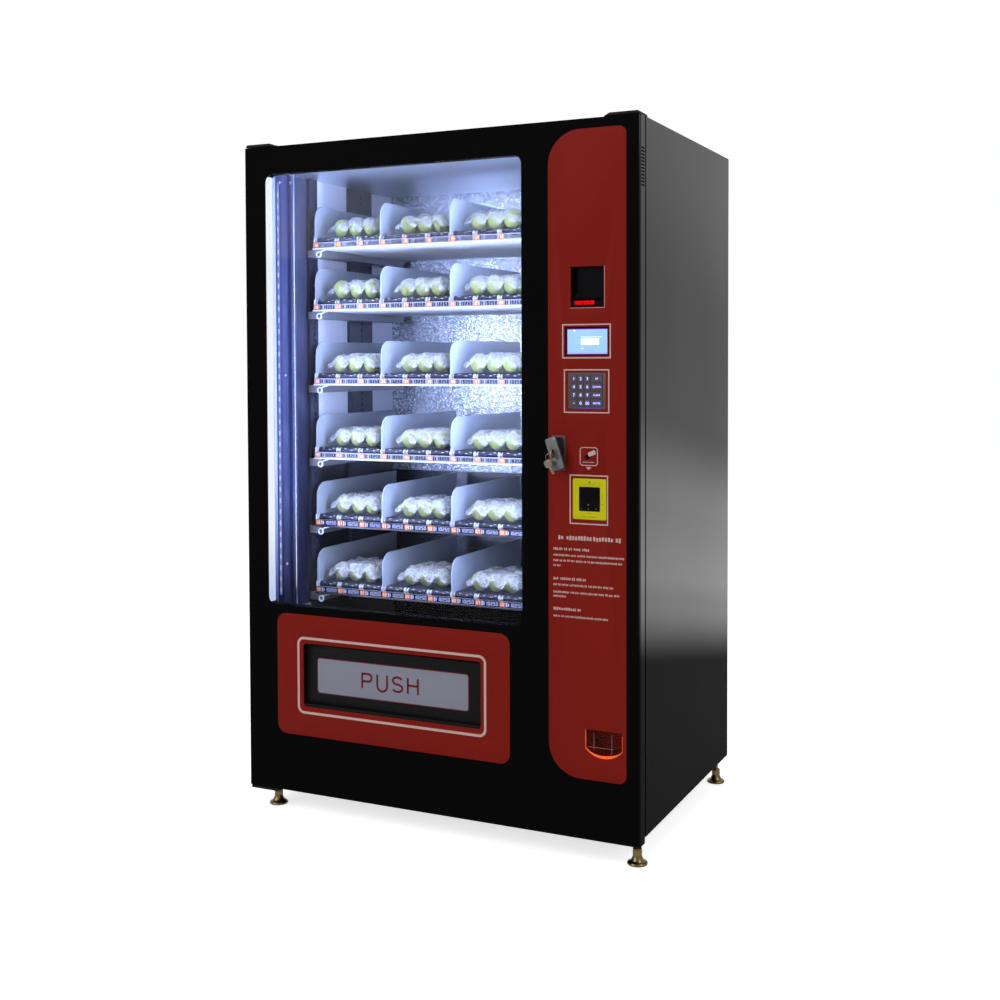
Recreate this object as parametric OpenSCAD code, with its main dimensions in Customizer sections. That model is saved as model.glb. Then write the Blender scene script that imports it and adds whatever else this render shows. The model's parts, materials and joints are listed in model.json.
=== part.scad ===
/* [Overall] */
// Width of the door and the cabinet
machine_w = 1206; // [1086:2:1326]
// Height of the door
door_h = 1856; // [1670:2:2040]
// Depth from the door's front face to the cabinet's back
machine_d = 818; // [736:2:900]
// Height of the door's lower edge above the floor
foot_h = 66; // [60:1:80]
// Thickness of folded sheet steel
sheet = 2; // [1.5:0.1:2.5]
// Play between a loose piece and the piece it sits in
play = 0.4; // [0.3:0.05:0.6]
// Radial clearance of a pin in its bore
pin_fit = 0.06; // [0.04:0.01:0.1]

/* [Cabinet] */
// Thickness of the foamed left wall
side_wall_t = 44; // [38:1:50]
// Thickness of the foamed rear wall
rear_wall_t = 52; // [44:1:56]
// Thickness of the foamed top, outer skin included
top_t = 56; // [48:1:64]
// Thickness of the foamed partition beside the control column
partition_t = 40; // [34:1:46]
// Clear width of the control column
column_w = 271; // [262:1:280]
// Height of the cabinet's lower edge above the door's lower edge
base_z = 14; // [10:1:20]
// Height of the base frame's rails
base_h = 60; // [50:1:70]
// Width of the base frame's rails
base_rail_w = 90; // [80:1:100]
// Width of the return flange on the right side panel
flange_w = 20; // [14:1:26]
// Number of air slots in the rear panel
rear_slots = 9; // [5:1:11]
// Spacing of the rear air slots
rear_slot_pitch = 20; // [16:1:22]
// Length of a rear air slot
rear_slot_w = 180; // [140:2:200]
// Height of a rear air slot
rear_slot_h = 6; // [4:0.5:8]
// Height of the lower air slots above the base
rear_slot_low = 60; // [40:1:100]
// Distance of the upper air slots from the top
rear_slot_drop = 420; // [360:2:460]
// Width of the control boxes
board_box_w = 160; // [140:1:200]
// Depth of the control boxes
board_box_d = 220; // [180:1:240]
// Height of the control board's box
board_box_h = 420; // [360:2:460]
// Height of the control board's box above the base
board_box_z = 460; // [400:2:520]
// Height of the power supply's box
power_box_h = 180; // [140:1:220]

/* [Door] */
// Thickness of the door
door_t = 38; // [36:1:42]
// Gap between the closed door and the cabinet
door_gap = 8; // [6:0.5:9]
// Radius of the door's left front edge
door_left_r = 4; // [3:0.5:6]
// Radius of the door's right front edge
door_edge_r = 8; // [6:1:12]
// Number of louvres in the door's right edge
louvres = 12; // [6:1:14]
// Spacing of the louvres
louvre_pitch = 8.5; // [7:0.25:10]
// Height of a louvre
louvre_h = 4; // [3:0.25:5]
// Distance of the louvres from the flat of the door's edge
louvre_edge = 1; // [0.5:0.25:2]
// Distance of the top louvre from the door's top
louvre_drop = 84; // [70:1:110]
// Width of the door seal
seal_w = 16; // [12:1:18]
// Distance of the door seal from the hinge axis
seal_inset = 2; // [0:0.5:5]
// Gap between the door's rear cover and the control column
cover_gap = 10; // [6:0.5:14]
// Wall of a hinge bush
bush_wall = 5; // [4:0.25:7]

/* [Window] */
// Distance of the opening from the control panel
window_gap = 77; // [70:1:90]
// Distance of the opening from the lower red panel
window_low = 21; // [16:1:30]
// Distance of the opening from the door's left edge
window_left = 71; // [66:1:78]
// Distance of the opening from the door's top
window_top = 78; // [70:1:90]
// Corner radius of the opening
window_r = 26; // [10:1:40]
// Thickness of the glass
glass_t = 6; // [4:0.5:8]
// Overlap of the glass behind the door skin
glass_lap = 12; // [8:1:14]
// Depth of a light bar in the window's reveal
light_w = 8; // [6:0.5:8.5]

/* [Control panel] */
// Width of the red control panel
panel_w = 214; // [208:1:218]
// Height of the panel's lower edge above the door's lower edge
panel_low = 158; // [150:1:166]
// Distance of the panel from the door's right edge
panel_right = 36; // [32:1:40]
// Distance of the panel from the door's top
panel_top = 26; // [20:1:40]
// Thickness of the red panels
panel_t = 3; // [2:0.5:4]
// Corner radius on the window side
panel_big_r = 88; // [40:1:95]
// Corner radius on the outer side
panel_small_r = 20; // [8:1:30]
// Margin of the panel around the cut-out behind it
panel_lap = 8; // [6:1:10]

/* [Bill acceptor] */
// Width of the bill acceptor opening
bill_w = 92; // [84:1:96]
// Height of the bill acceptor opening
bill_h = 104; // [100:1:110]
// Height of the opening's lower edge above the door's lower edge
bill_z = 1376; // [1366:1:1386]
// Offset of the opening from the panel's middle
bill_x = 2; // [-4:0.5:6]
// Depth of the recess in the opening
bill_recess = 20; // [14:1:24]
// Width of the bill slot
slot_w = 70; // [68:1:76]
// Height of the bill slot
slot_h = 7; // [6:0.5:9]
// Depth of the bill slot
slot_d = 40; // [30:1:60]
// Height of the bill slot above the opening's lower edge
slot_z = 16; // [12:0.5:20]
// Height of the block round the slot above the opening's lower edge
lip_h = 34; // [30:0.5:40]
// Distance the block's upper step stands in front of the recess
lip_out = 8; // [5:0.5:10]
// Distance of the block's front behind the panel
lip_sink = 4; // [2:0.5:6]
// Thickness of the mask behind the recess
mask_t = 10; // [8:0.5:14]
// Depth of the bill acceptor behind the panel
bill_d = 190; // [150:1:220]
// Reach of the bill acceptor's body below the opening
bill_low = 30; // [20:1:40]
// Reach of the bill acceptor's body above the opening
bill_high = 40; // [30:1:44]

/* [Display] */
// Width of the display opening
display_w = 120; // [110:1:126]
// Height of the display opening
display_h = 74; // [68:1:80]
// Height of the opening's lower edge above the door's lower edge
display_z = 1252; // [1246:1:1258]
// Depth of the display module
display_d = 22; // [16:1:30]
// Width of the display's rim
display_rim = 4; // [3:0.25:6]
// Depth of the screen behind the rim
display_sink = 3; // [2:0.25:4]
// Lap of a module behind the panel's opening
module_lap = 5; // [3:0.5:6]

/* [Keypad] */
// Width of the keypad plate
pad_w = 104; // [102:1:112]
// Height of the keypad plate
pad_h = 94; // [92:1:98]
// Height of the plate's lower edge above the door's lower edge
pad_z = 1115; // [1108:1:1120]
// Width of a number key
key_w = 15.5; // [13:0.25:16]
// Width of a word key
word_key_w = 30; // [26:0.5:31]
// Height of a key
key_h = 17; // [14:0.25:18]
// Spacing of the key columns
key_pitch_x = 18.5; // [18:0.25:19]
// Spacing of the key rows
key_pitch_z = 21; // [20:0.25:21.5]
// Distance a key stands out of the plate
key_out = 1.6; // [1.4:0.1:2.5]
// Travel of a key
key_travel = 1.2; // [0.8:0.1:1.4]
// Width of the rim that holds a key in
key_rim = 0.9; // [0.7:0.05:1]
// Thickness of the keypad's front plate
pad_t = 3; // [2:0.25:4]
// Depth of the keypad
pad_depth = 16; // [14:0.5:20]
// Wall of the keypad's housing
pad_wall = 2; // [1.5:0.25:3]
// Distance of the keypad plate behind the panel's face
pad_sink = 1; // [0.5:0.25:1.5]
// Corner radius of a key
key_r = 1.5; // [1:0.25:3]
// Thickness of the rim that holds a key in
key_rim_t = 1.5; // [1:0.25:2]
// Radius of the stem under a key
key_stem_r = 4; // [3:0.25:5]

/* [Card reader] */
// Width of the card reader
card_w = 91; // [84:1:96]
// Height of the card reader
card_h = 105; // [100:1:112]
// Distance of the card reader's middle to the right of the panel's middle
card_x = 8; // [0:0.5:12]
// Height of its lower edge above the door's lower edge
card_z = 832; // [822:1:840]
// Width of its screen
card_screen_w = 58; // [50:1:64]
// Height of its screen
card_screen_h = 63; // [56:1:70]
// Depth of the card reader behind the panel
card_d = 34; // [26:1:50]
// Corner radius of the card reader
card_r = 4; // [3:0.5:10]
// Distance the card reader stands out of the panel
card_out = 2; // [1:0.25:4]
// Thickness of the flange behind the panel
card_lip_t = 4; // [3:0.25:5]
// Corner radius of the card reader's screen
card_screen_r = 3; // [1:0.5:6]
// Depth of the card reader's screen
card_screen_sink = 2; // [1:0.25:3]

/* [Coin return] */
// Width of the coin return opening
coin_w = 102; // [92:1:104]
// Height of its straight sides
coin_side_h = 49; // [40:1:56]
// Radius of its curved lower edge
coin_arc_r = 68; // [60:1:80]
// Height of its top edge above the door's lower edge
coin_z = 289; // [282:1:296]
// Distance of its right side from the panel's right edge
coin_right = 10; // [9:0.5:14]
// Depth of the cup
coin_d = 84; // [80:1:100]
// Wall of the cup
coin_wall = 2; // [1.5:0.25:2.5]
// Thickness of the coin flap
coin_flap_t = 2.5; // [2:0.25:3]
// Radius of the coin flap's hinge pins
coin_pin_r = 1.5; // [1.25:0.05:1.75]
// Distance of the coin flap's hinge behind the door's front face
coin_hinge_y = 8; // [6:0.5:12]
// Gap round the coin flap
coin_gap = 1.2; // [0.8:0.1:1.6]
// Wall of the coin flap's roll round its pin
coin_roll_wall = 1; // [0.8:0.1:1.5]
// Distance of the coin flap's roll from the opening's top edge
coin_hinge_drop = 1.5; // [1:0.25:2]
// Thickness of the cup's flange behind the panel
coin_lip_t = 3; // [2:0.25:4]
// Height of the flange above the cup
coin_lip = 4; // [3:0.5:6]

/* [Lock] */
// Width of the lock's plate
lock_w = 40; // [36:1:42]
// Height of the lock's plate
lock_h = 91; // [86:1:98]
// Height of the lock's middle above the door's lower edge
lock_z = 1001; // [990:1:1012]
// Distance of the lock's middle from the panel's left edge
lock_x = 29; // [28:0.5:32]
// Corner radius of the lock's plate
lock_r = 5; // [3:0.5:9]
// Thickness of the lock's plate
lock_t = 2; // [1.5:0.25:3]
// Width of the plate's rim beside the pocket
lock_rim = 6; // [5:0.25:8]
// Depth of the lock's pocket housing behind the door's front
lock_body_d = 14; // [12:0.5:18]
// Thickness of the pocket's floor
lock_floor = 7; // [5:0.5:8]
// Wall of the tube round the handle's shaft
tube_wall = 5; // [4:0.25:6]
// Reach of the tube behind the door
tube_reach = 8; // [6:0.5:12]
// Width of the T-handle
handle_w = 30; // [26:0.5:32]
// Length of the T-handle
handle_l = 84; // [76:1:88]
// Thickness of the T-handle
handle_t = 12; // [9:0.5:14]
// Distance the sprung handle stands out from the panel
handle_out = 16; // [12:0.5:20]
// Tilt of the released handle
handle_tilt = 18; // [0:1:30]
// Corner radius of the T-handle
handle_r = 4; // [2:0.5:8]
// Radius of the handle's shaft
shaft_r = 9; // [7:0.5:10]
// Thickness of the lock's cam
cam_t = 6; // [5:0.5:8]
// Reach of the lock's cam from the shaft's axis
cam_l = 46; // [40:1:52]
// Radius of the key's barrel
key_barrel_r = 6; // [5:0.25:7]
// Radius of the hole in the key's bow
key_hole_r = 3; // [2:0.25:4]
// Length of the key's bow in front of the handle
key_bow = 24; // [18:0.5:28]
// Thickness of the key
key_t = 2.4; // [2:0.1:3]
// Reach of the key's barrel behind the handle
barrel_back = 4; // [3:0.5:6]

/* [Delivery hatch] */
// Distance of the lower red panel from the control panel
hatch_panel_gap = 113; // [106:1:120]
// Height of the lower red panel
hatch_panel_h = 349; // [340:1:356]
// Distance of the lower red panel from the door's left edge
hatch_panel_left = 102; // [96:1:108]
// Height of the panel's lower edge above the door's lower edge
hatch_panel_z = 167; // [160:1:172]
// Corner radius of the lower red panel
hatch_panel_r = 30; // [15:1:45]
// Height of the hatch opening
hatch_h = 182; // [170:1:190]
// Distance of the hatch from the panel's left edge
hatch_left = 89; // [84:1:94]
// Distance of the hatch from the panel's right edge
hatch_right = 86; // [80:1:94]
// Corner radius of the hatch opening
hatch_r = 10; // [6:0.5:12]
// Height of the hatch above the panel's lower edge
hatch_z = 85; // [80:1:92]
// Wall of the hatch surround
hatch_wall = 6; // [5:0.5:8]
// Thickness of the flap
flap_t = 4; // [3:0.5:5]
// Gap beside the flap
flap_gap = 3; // [2:0.5:4]
// Radius of the flap's hinge pins
flap_pin_r = 3; // [2.5:0.25:3.5]
// Distance of the flap's hinge behind the door's front face
flap_axis_y = 13; // [10:0.5:16]
// Wall of the flap's roll round its pin
flap_roll_wall = 2; // [1.5:0.25:3]
// Height of the stop that the flap rests on
flap_stop_h = 8; // [6:0.5:10]
// Reach of the hatch surround behind the door
hatch_out = 2; // [1:0.25:3]
// Depth of the delivery bin
bin_d = 330; // [300:2:360]
// Gap between the bin and the cabinet's front
bin_gap = 2; // [1.5:0.25:4]
// Drop from the hatch to the bin's floor
bin_drop = 12; // [8:0.5:20]
// Gap between the bin and the lift at rest
bin_clear = 20; // [16:0.5:24]
// Width of the bin's legs
leg_w = 20; // [16:1:30]
// Distance of the bin's legs from its corners
leg_in = 40; // [30:1:60]
// Clear space of the bin beside and above the flap's sweep
bin_margin = 30; // [26:1:36]

/* [Trays] */
// Number of belts on a tray
belts = 10; // [10:1:10]
// Belts in a wide lane
lane_belts = 3; // [3:1:3]
// Distance of a tray from the compartment's side walls
tray_side = 36; // [33:0.5:39]
// Gap between neighbouring belts
belt_space = 16; // [14:0.5:20]
// Thickness of a belt
belt_t = 2; // [1.5:0.25:2.5]
// Radius of the belt's outer turn
belt_r = 9; // [8.5:0.25:9.5]
// Height of the rollers' axis above the price rail
belt_lift = 6; // [5:0.5:8]
// Distance of the trays' front from the door's front
tray_y = 230; // [224:1:240]
// Gap behind the trays
tray_rear = 24; // [18:1:40]
// Drop from the ceiling to the top tray's price rail
tray_top = 200; // [190:1:220]
// Height of the lowest tray's price rail above the lift at rest
tray_low = 84; // [80:1:92]
// Height of the price rail
rail_h = 21; // [18:0.5:23]
// Thickness of the price rail
rail_t = 3; // [2:0.5:4]
// Reach of the price rail's rounded lip
rail_lip = 6; // [4:0.25:7]
// Thickness of the price rail's lip
rail_lip_t = 4; // [3:0.25:5]
// Depth of the channel for the belt drives
drive_d = 22; // [18:1:24]
// Gap between the belts and the neighbouring walls of the tray
belt_room = 4; // [3:0.5:6]
// Height of a lane divider above the price rail
divider_h = 112; // [100:1:118]
// Thickness of a lane divider
divider_t = 2; // [1.5:0.25:2.5]
// Radius of the divider's front corner
divider_r = 42; // [20:1:50]
// Radius of the roller shaft
roller_shaft_r = 3.5; // [3:0.25:4]
// Gap between a roller and its belt
roller_gap = 0.8; // [0.6:0.05:0.9]
// Radius of a roller's flanges
flange_r = 8.5; // [8:0.25:9]
// Thickness of a roller's flanges
flange_t = 3; // [2:0.25:3.5]
// Gap between a belt and a roller's flange
flange_gap = 0.5; // [0.3:0.05:0.6]
// Width of a front upright
upright_w = 44; // [38:1:50]
// Width of a rear upright
rear_upright_w = 136; // [120:1:140]
// Depth of an upright
upright_d = 12; // [10:0.5:13]
// Distance of the front uprights from the trays' front
upright_front = 16; // [12:1:24]
// Distance of the rear uprights from the trays' rear
upright_rear = 128; // [110:1:132]
// Distance of the first slot from the upright's end
slot_first = 8; // [6:0.5:10]
// Width of a slot in the uprights
hook_w = 6; // [5:0.25:8]
// Height of a slot in the uprights
hook_h = 11; // [9:0.25:12]
// Depth of a slot in the uprights
hook_d = 3; // [2:0.25:4]
// Height of a tray runner
runner_h = 22; // [18:0.5:24]
// Reach of a tray runner under the tray
runner_in = 26; // [20:1:36]
// Distance of a tray runner's ends from the tray's ends
runner_end = 6; // [4:0.5:8]
// Radius of the round stop on a tray runner
stop_r = 9; // [7:0.25:10]
// Wall of the round stop
stop_wall = 4; // [3:0.25:5]
// Length of the round stop
stop_l = 5; // [3:0.25:6]

/* [Lift] */
// Width of a lift guide along the wall
guide_w = 76; // [60:1:80]
// Distance a lift guide stands off the wall
guide_d = 20; // [16:0.5:22]
// Distance of the lift guides from the door's front
guide_y = 86; // [84:1:90]
// Width of the groove in a lift guide
groove_w = 24; // [18:1:30]
// Depth of the groove in a lift guide
groove_d = 12; // [8:0.5:14]
// Gap between the lift's platform and its guides
lift_gap = 4; // [3:0.25:6]
// Depth of the lift's platform
lift_d = 136; // [120:1:138]
// Height of the platform's middle at rest
lift_z = 470; // [466:1:480]
// Height of the platform's front lip
lift_lip = 36; // [28:1:40]
// Height of the platform's rear flange
lift_flange = 14; // [10:0.5:14]

/* [Hinges and feet] */
// Width of a hinge plate
hinge_w = 96; // [80:1:110]
// Thickness of a hinge plate
hinge_t = 8; // [5:0.5:10]
// Reach of a hinge plate over the cabinet
hinge_d = 110; // [90:1:120]
// Reach of the right cover plate over the cabinet
cover_d = 20; // [14:1:30]
// Width of the lower hinge plate's arm
hinge_arm_w = 40; // [34:1:42]
// Gap between the door and a hinge plate
hinge_gap = 2; // [1:0.25:3]
// Slope length of a hinge plate's ends
hinge_slope = 16; // [8:0.5:24]
// Distance of a hinge plate from the machine's edges
hinge_edge = 3; // [1:0.5:6]
// Radius of the door's hinge pins
hinge_pin_r = 6; // [5:0.25:7]
// Length of a hinge pin in the door
hinge_pin_l = 22; // [16:1:26]
// Radius of a foot's pad
pad_r = 27; // [22:0.5:30]
// Radius of a foot's threaded stem
stem_r = 6; // [5:0.25:7]
// Height of a foot's rim
foot_rim_h = 8; // [6:0.25:10]
// Bevel at the bottom of a foot's rim
foot_bevel = 3; // [2:0.25:4]
// Height of a foot's cone above the floor
foot_cone_h = 22; // [18:0.5:26]
// Height of a foot's collar above the floor
foot_collar_h = 33; // [30:0.5:38]
// Width of a foot's collar round the stem
foot_collar = 6; // [4:0.25:8]
// Height of a foot's lock nut
nut_h = 10; // [8:0.5:12]
// Width of the lock nut round the stem
nut_w = 5; // [4:0.25:6]
// Distance of the left front foot from the machine's left side
foot_left = 58; // [54:1:64]
// Distance of the other feet from the machine's sides
foot_side = 28; // [22:1:44]
// Distance of the front feet from the cabinet's front
foot_front = 14; // [10:1:30]
// Distance of the rear feet from the cabinet's back
foot_rear = 30; // [28:1:40]

/* [Hidden] */
$fn = 48;
half_w = machine_w / 2;
cab_y = door_t + door_gap;
front_reach = panel_t + handle_out + handle_t + key_bow;
front_y = -(machine_d - front_reach) / 2;
inner_left = -half_w + sheet + side_wall_t;
column_left = half_w - sheet - column_w;
inner_right = column_left - partition_t;
inner_rear = machine_d - sheet - rear_wall_t;
inner_top = door_h - top_t;
base_top = base_z + base_h;
pivot_x = -half_w + door_t / 2;
pivot_y = door_t / 2;
win_x0 = -half_w + window_left;
panel_x1 = half_w - panel_right;
panel_x0 = panel_x1 - panel_w;
panel_z1 = door_h - panel_top;
panel_z0 = panel_low;
panel_mid = (panel_x0 + panel_x1) / 2;
bill_mid = panel_mid + bill_x;
card_mid = panel_mid + card_x;
lock_mid = panel_x0 + lock_x;
coin_mid = panel_x1 - coin_right - coin_w / 2;
coin_hinge_z = coin_z - coin_pin_r - coin_roll_wall - coin_hinge_drop;
coin_arc_z = coin_z - coin_side_h + sqrt(pow(coin_arc_r, 2) - pow(coin_w / 2, 2));
hpanel_x0 = -half_w + hatch_panel_left;
hpanel_x1 = panel_x0 - hatch_panel_gap;
hpanel_z1 = hatch_panel_z + hatch_panel_h;
hatch_x0 = hpanel_x0 + hatch_left;
hatch_x1 = hpanel_x1 - hatch_right;
hatch_w = hatch_x1 - hatch_x0;
hatch_z0 = hatch_panel_z + hatch_z;
hatch_z1 = hatch_z0 + hatch_h;
win_x1 = panel_x0 - window_gap;
win_z1 = door_h - window_top;
win_z0 = hpanel_z1 + window_low;
flap_roll_r = flap_pin_r + flap_roll_wall;
flap_axis_z = hatch_z1 - flap_roll_r - flap_gap;
key_cols = [0, 1, 2, 3];
key_rows = [0, 1, 2, 3];
key_row_span = 2 * key_pitch_x + (key_w + word_key_w) / 2 + (key_pitch_x - key_w);
key_x0 = panel_mid - (key_row_span + (word_key_w - key_w) / 2) / 2;
tray_x0 = inner_left + tray_side;
tray_w = inner_right - tray_side - tray_x0;
tray_mid = tray_x0 + tray_w / 2;
tray_d = inner_rear - tray_rear - tray_y;
belt_pitch = tray_w / belts;
belt_w = belt_pitch - belt_space;
tray_steps = [0, 10, 22, 34, 45, 56];
trays = len(tray_steps);
tray_top_z = inner_top - tray_top;
slot_pitch = (tray_top_z - lift_z - tray_low) / tray_steps[trays - 1];
roller_y = tray_y + rail_t + sheet + belt_r + belt_room;
belt_back_y = tray_y + tray_d - drive_d - belt_r - belt_room;
roller_r = belt_r - belt_t - roller_gap;
lift_x0 = inner_left + guide_d + lift_gap;
lift_x1 = inner_right - guide_d - lift_gap;
lift_y = guide_y - lift_gap;
handle_y = -panel_t - handle_out;

function tray_z(n) = tray_top_z - tray_steps[n] * slot_pitch;
function belt_x(i) = tray_x0 + (i + 0.5) * belt_pitch;
function key_x(c) = key_x0 + (c < 3 ? c * key_pitch_x : key_row_span);
function key_z(r) = pad_z + pad_h / 2 + (1.5 - r) * key_pitch_z;
function key_width(c) = c < 3 ? key_w : word_key_w;

// Moves the door's own frame, with its front lower edge at zero, to the machine's frame
module place() {
    translate([0, front_y, foot_h]) children();
}

// Box between two corners
module block(low, high) {
    translate(low) cube(high - low);
}

// Upright plate from a flat outline of width and height, with its front face at y
module plate(y, thick) {
    translate([0, y + thick, 0]) rotate([90, 0, 0]) linear_extrude(thick) children();
}

// Flat rectangle round a middle point
module square_at(x, z, w, h) {
    translate([x, z]) square([w, h], center = true);
}

// Rectangle with one radius on its left corners and one on its right corners
module soft_rect(x0, z0, x1, z1, left_r, right_r) {
    translate([x0 + left_r, z0]) square([x1 - x0 - left_r - right_r, z1 - z0]);
    translate([x0, z0 + left_r]) square([left_r + 1, z1 - z0 - 2 * left_r]);
    translate([x1 - right_r - 1, z0 + right_r]) square([right_r + 1, z1 - z0 - 2 * right_r]);
    for (z = [z0 + left_r, z1 - left_r]) translate([x0 + left_r, z]) circle(left_r);
    for (z = [z0 + right_r, z1 - right_r]) translate([x1 - right_r, z]) circle(right_r);
}

// Outline of the window opening, grown by a lap
module window_outline(lap) {
    soft_rect(win_x0 - lap, win_z0 - lap, win_x1 + lap, win_z1 + lap, window_r, window_r);
}

// Outline of the coin return, a rectangle with a curved lower edge, shrunk by a gap
module coin_outline(gap) {
    intersection() {
        translate([coin_mid - coin_w / 2 + gap, coin_z - coin_w]) square([coin_w - 2 * gap, coin_w - gap]);
        translate([coin_mid, coin_arc_z]) circle(coin_arc_r - gap, $fn = 96);
    }
}

// Plan of the door, round about the hinge at its rear and soft at its front edges
module door_plan(inset) {
    translate([pivot_x, pivot_y]) circle(door_t / 2 - inset);
    translate([-half_w + door_left_r, door_left_r]) circle(door_left_r - inset);
    translate([-half_w + inset, door_left_r]) square([door_t / 2, pivot_y - door_left_r]);
    translate([-half_w + door_left_r, inset]) square([door_t / 2, pivot_y - inset]);
    translate([pivot_x, inset])
        square([machine_w - door_t / 2 - door_edge_r, door_t - 2 * inset]);
    translate([half_w - door_edge_r - 1, door_edge_r])
        square([door_edge_r + 1 - inset, door_t - door_edge_r - inset]);
    translate([half_w - door_edge_r, door_edge_r]) circle(door_edge_r - inset);
}

// Cabinet

module side_panel(side) {
    block([side > 0 ? half_w - sheet : -half_w, cab_y, base_z],
          [side > 0 ? half_w : -half_w + sheet, machine_d - sheet, door_h - sheet]);
}

module left_side_panel() {
    color([0.06, 0.06, 0.06]) place() side_panel(-1);
}

module right_side_panel() {
    color([0.06, 0.06, 0.06]) place() {
        side_panel(1);
        block([half_w - flange_w, cab_y, base_top], [half_w - sheet, cab_y + sheet, door_h - top_t]);
    }
}

module top_panel() {
    color([0.07, 0.07, 0.07]) place() {
        block([-half_w, cab_y, door_h - sheet], [half_w, machine_d, door_h]);
        block([-half_w + sheet, cab_y, inner_top], [half_w - sheet, machine_d - sheet, door_h - sheet]);
    }
}

module rear_panel() {
    slot_mid = column_left + column_w / 2;
    color([0.08, 0.08, 0.08]) place() difference() {
        block([-half_w, machine_d - sheet, base_z], [half_w, machine_d, door_h - sheet]);
        for (i = [0 : rear_slots - 1], z = [base_top + rear_slot_low, door_h - rear_slot_drop])
            translate([slot_mid - rear_slot_w / 2, machine_d - sheet - 1, z + i * rear_slot_pitch])
                cube([rear_slot_w, sheet + 2, rear_slot_h]);
    }
}

module base_frame() {
    x1 = half_w - sheet;
    y1 = machine_d - sheet;
    color([0.1, 0.1, 0.1]) place() difference() {
        block([-x1, cab_y, base_z], [x1, y1, base_top]);
        block([-x1 + base_rail_w, cab_y + base_rail_w, base_z - 1],
              [x1 - base_rail_w, y1 - base_rail_w, base_top - sheet]);
        feet_at() translate([0, 0, -1]) cylinder(r = stem_r + pin_fit, h = base_h - sheet);
    }
}

module left_inner_wall() {
    color([0.85, 0.88, 0.92]) place()
        block([-half_w + sheet, cab_y, base_top], [inner_left, machine_d - sheet, inner_top]);
}

module rear_inner_wall() {
    color([0.75, 0.78, 0.8]) place()
        block([inner_left, inner_rear, base_top], [inner_right, machine_d - sheet, inner_top]);
}

module partition_wall() {
    color([0.85, 0.88, 0.92]) place()
        block([inner_right, cab_y, base_top], [column_left, machine_d - sheet, inner_top]);
}

// Trays

// Slotted channel on the compartment wall, with its back to the wall at zero
module upright(width) {
    high = inner_top - lift_z;
    slots = floor((high - 2 * slot_first) / slot_pitch);
    difference() {
        cube([upright_d, width, high]);
        for (i = [0 : slots - 1])
            translate([upright_d - hook_d, (width - hook_w) / 2, slot_first + i * slot_pitch])
                cube([hook_d + 1, hook_w, hook_h]);
    }
}

// Front and rear upright of the left wall
module upright_pair() {
    translate([inner_left, tray_y + upright_front, lift_z]) upright(upright_w);
    translate([inner_left, tray_y + tray_d - upright_rear - rear_upright_w, lift_z]) upright(rear_upright_w);
}

module tray_uprights() {
    color([0.2, 0.22, 0.3]) place() {
        upright_pair();
        translate([2 * tray_mid, 0, 0]) mirror([1, 0, 0]) upright_pair();
    }
}

// Runner bar hooked into the uprights, with the round stop at its front end
module runner(n) {
    top_z = tray_z(n) - rail_h;
    block([inner_left + upright_d, tray_y + runner_end, top_z - runner_h],
          [tray_x0 + runner_in, tray_y + tray_d - runner_end, top_z]);
    translate([tray_x0 + runner_in - stop_r, tray_y + runner_end, top_z - runner_h / 2]) rotate([90, 0, 0]) difference() {
        cylinder(r = stop_r, h = stop_l);
        translate([0, 0, -1]) cylinder(r = stop_r - stop_wall, h = stop_l + 2);
    }
}

module tray_runners() {
    color([0.5, 0.53, 0.58]) place() for (n = [0 : trays - 1]) {
        runner(n);
        translate([2 * tray_mid, 0, 0]) mirror([1, 0, 0]) runner(n);
    }
}

// Folded pan with sides that carry the roller shaft and a channel for the belt drives
module tray_pan(n) {
    z0 = tray_z(n) - rail_h;
    y0 = tray_y + rail_t;
    y1 = tray_y + tray_d;
    axis_z = tray_z(n) + belt_lift;
    difference() {
        union() {
            block([tray_x0, y0, z0], [tray_x0 + tray_w, y1, z0 + sheet]);
            block([tray_x0, y0, z0], [tray_x0 + tray_w, y0 + sheet, z0 + rail_h]);
            for (x = [tray_x0, tray_x0 + tray_w - sheet])
                block([x, y0, z0], [x + sheet, y1, axis_z + belt_r]);
            block([tray_x0, y1 - drive_d, z0], [tray_x0 + tray_w, y1, axis_z + belt_r]);
            translate([tray_x0, belt_back_y, axis_z]) rotate([0, 90, 0])
                cylinder(r = roller_r, h = tray_w);
        }
        translate([tray_x0 - 1, roller_y, axis_z]) rotate([0, 90, 0])
            cylinder(r = roller_shaft_r + pin_fit, h = tray_w + 2);
    }
}

module tray_pans() {
    color([0.8, 0.82, 0.86]) place() for (n = [0 : trays - 1]) tray_pan(n);
}

// Side outline of a divider, with its long front corner rounded
module divider_outline(n) {
    z0 = tray_z(n) - rail_h + sheet;
    z1 = tray_z(n) + divider_h;
    y0 = tray_y + rail_t + sheet;
    y1 = tray_y + tray_d - drive_d;
    difference() {
        union() {
            translate([y0 + divider_r, z0]) square([y1 - y0 - divider_r, z1 - z0]);
            translate([y0, z0]) square([divider_r + 1, z1 - z0 - divider_r]);
            translate([y0 + divider_r, z1 - divider_r]) circle(divider_r);
        }
        translate([roller_y, tray_z(n) + belt_lift]) circle(roller_shaft_r + play);
        translate([belt_back_y, tray_z(n) + belt_lift]) circle(roller_r + play);
    }
}

module lane_dividers() {
    ends = [sheet, tray_w - sheet - divider_t];
    splits = [for (i = [lane_belts : lane_belts : belts - 1]) i * belt_pitch - divider_t / 2];
    color([0.9, 0.94, 0.97, 0.7]) place() for (n = [0 : trays - 1], x = concat(ends, splits))
        translate([tray_x0 + x, 0, 0]) rotate([90, 0, 90]) linear_extrude(divider_t) divider_outline(n);
}

// Side outline of a belt's loop
module belt_outline(r) {
    translate([roller_y, 0]) circle(r);
    translate([belt_back_y, 0]) circle(r);
    translate([roller_y, -r]) square([belt_back_y - roller_y, 2 * r]);
}

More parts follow.
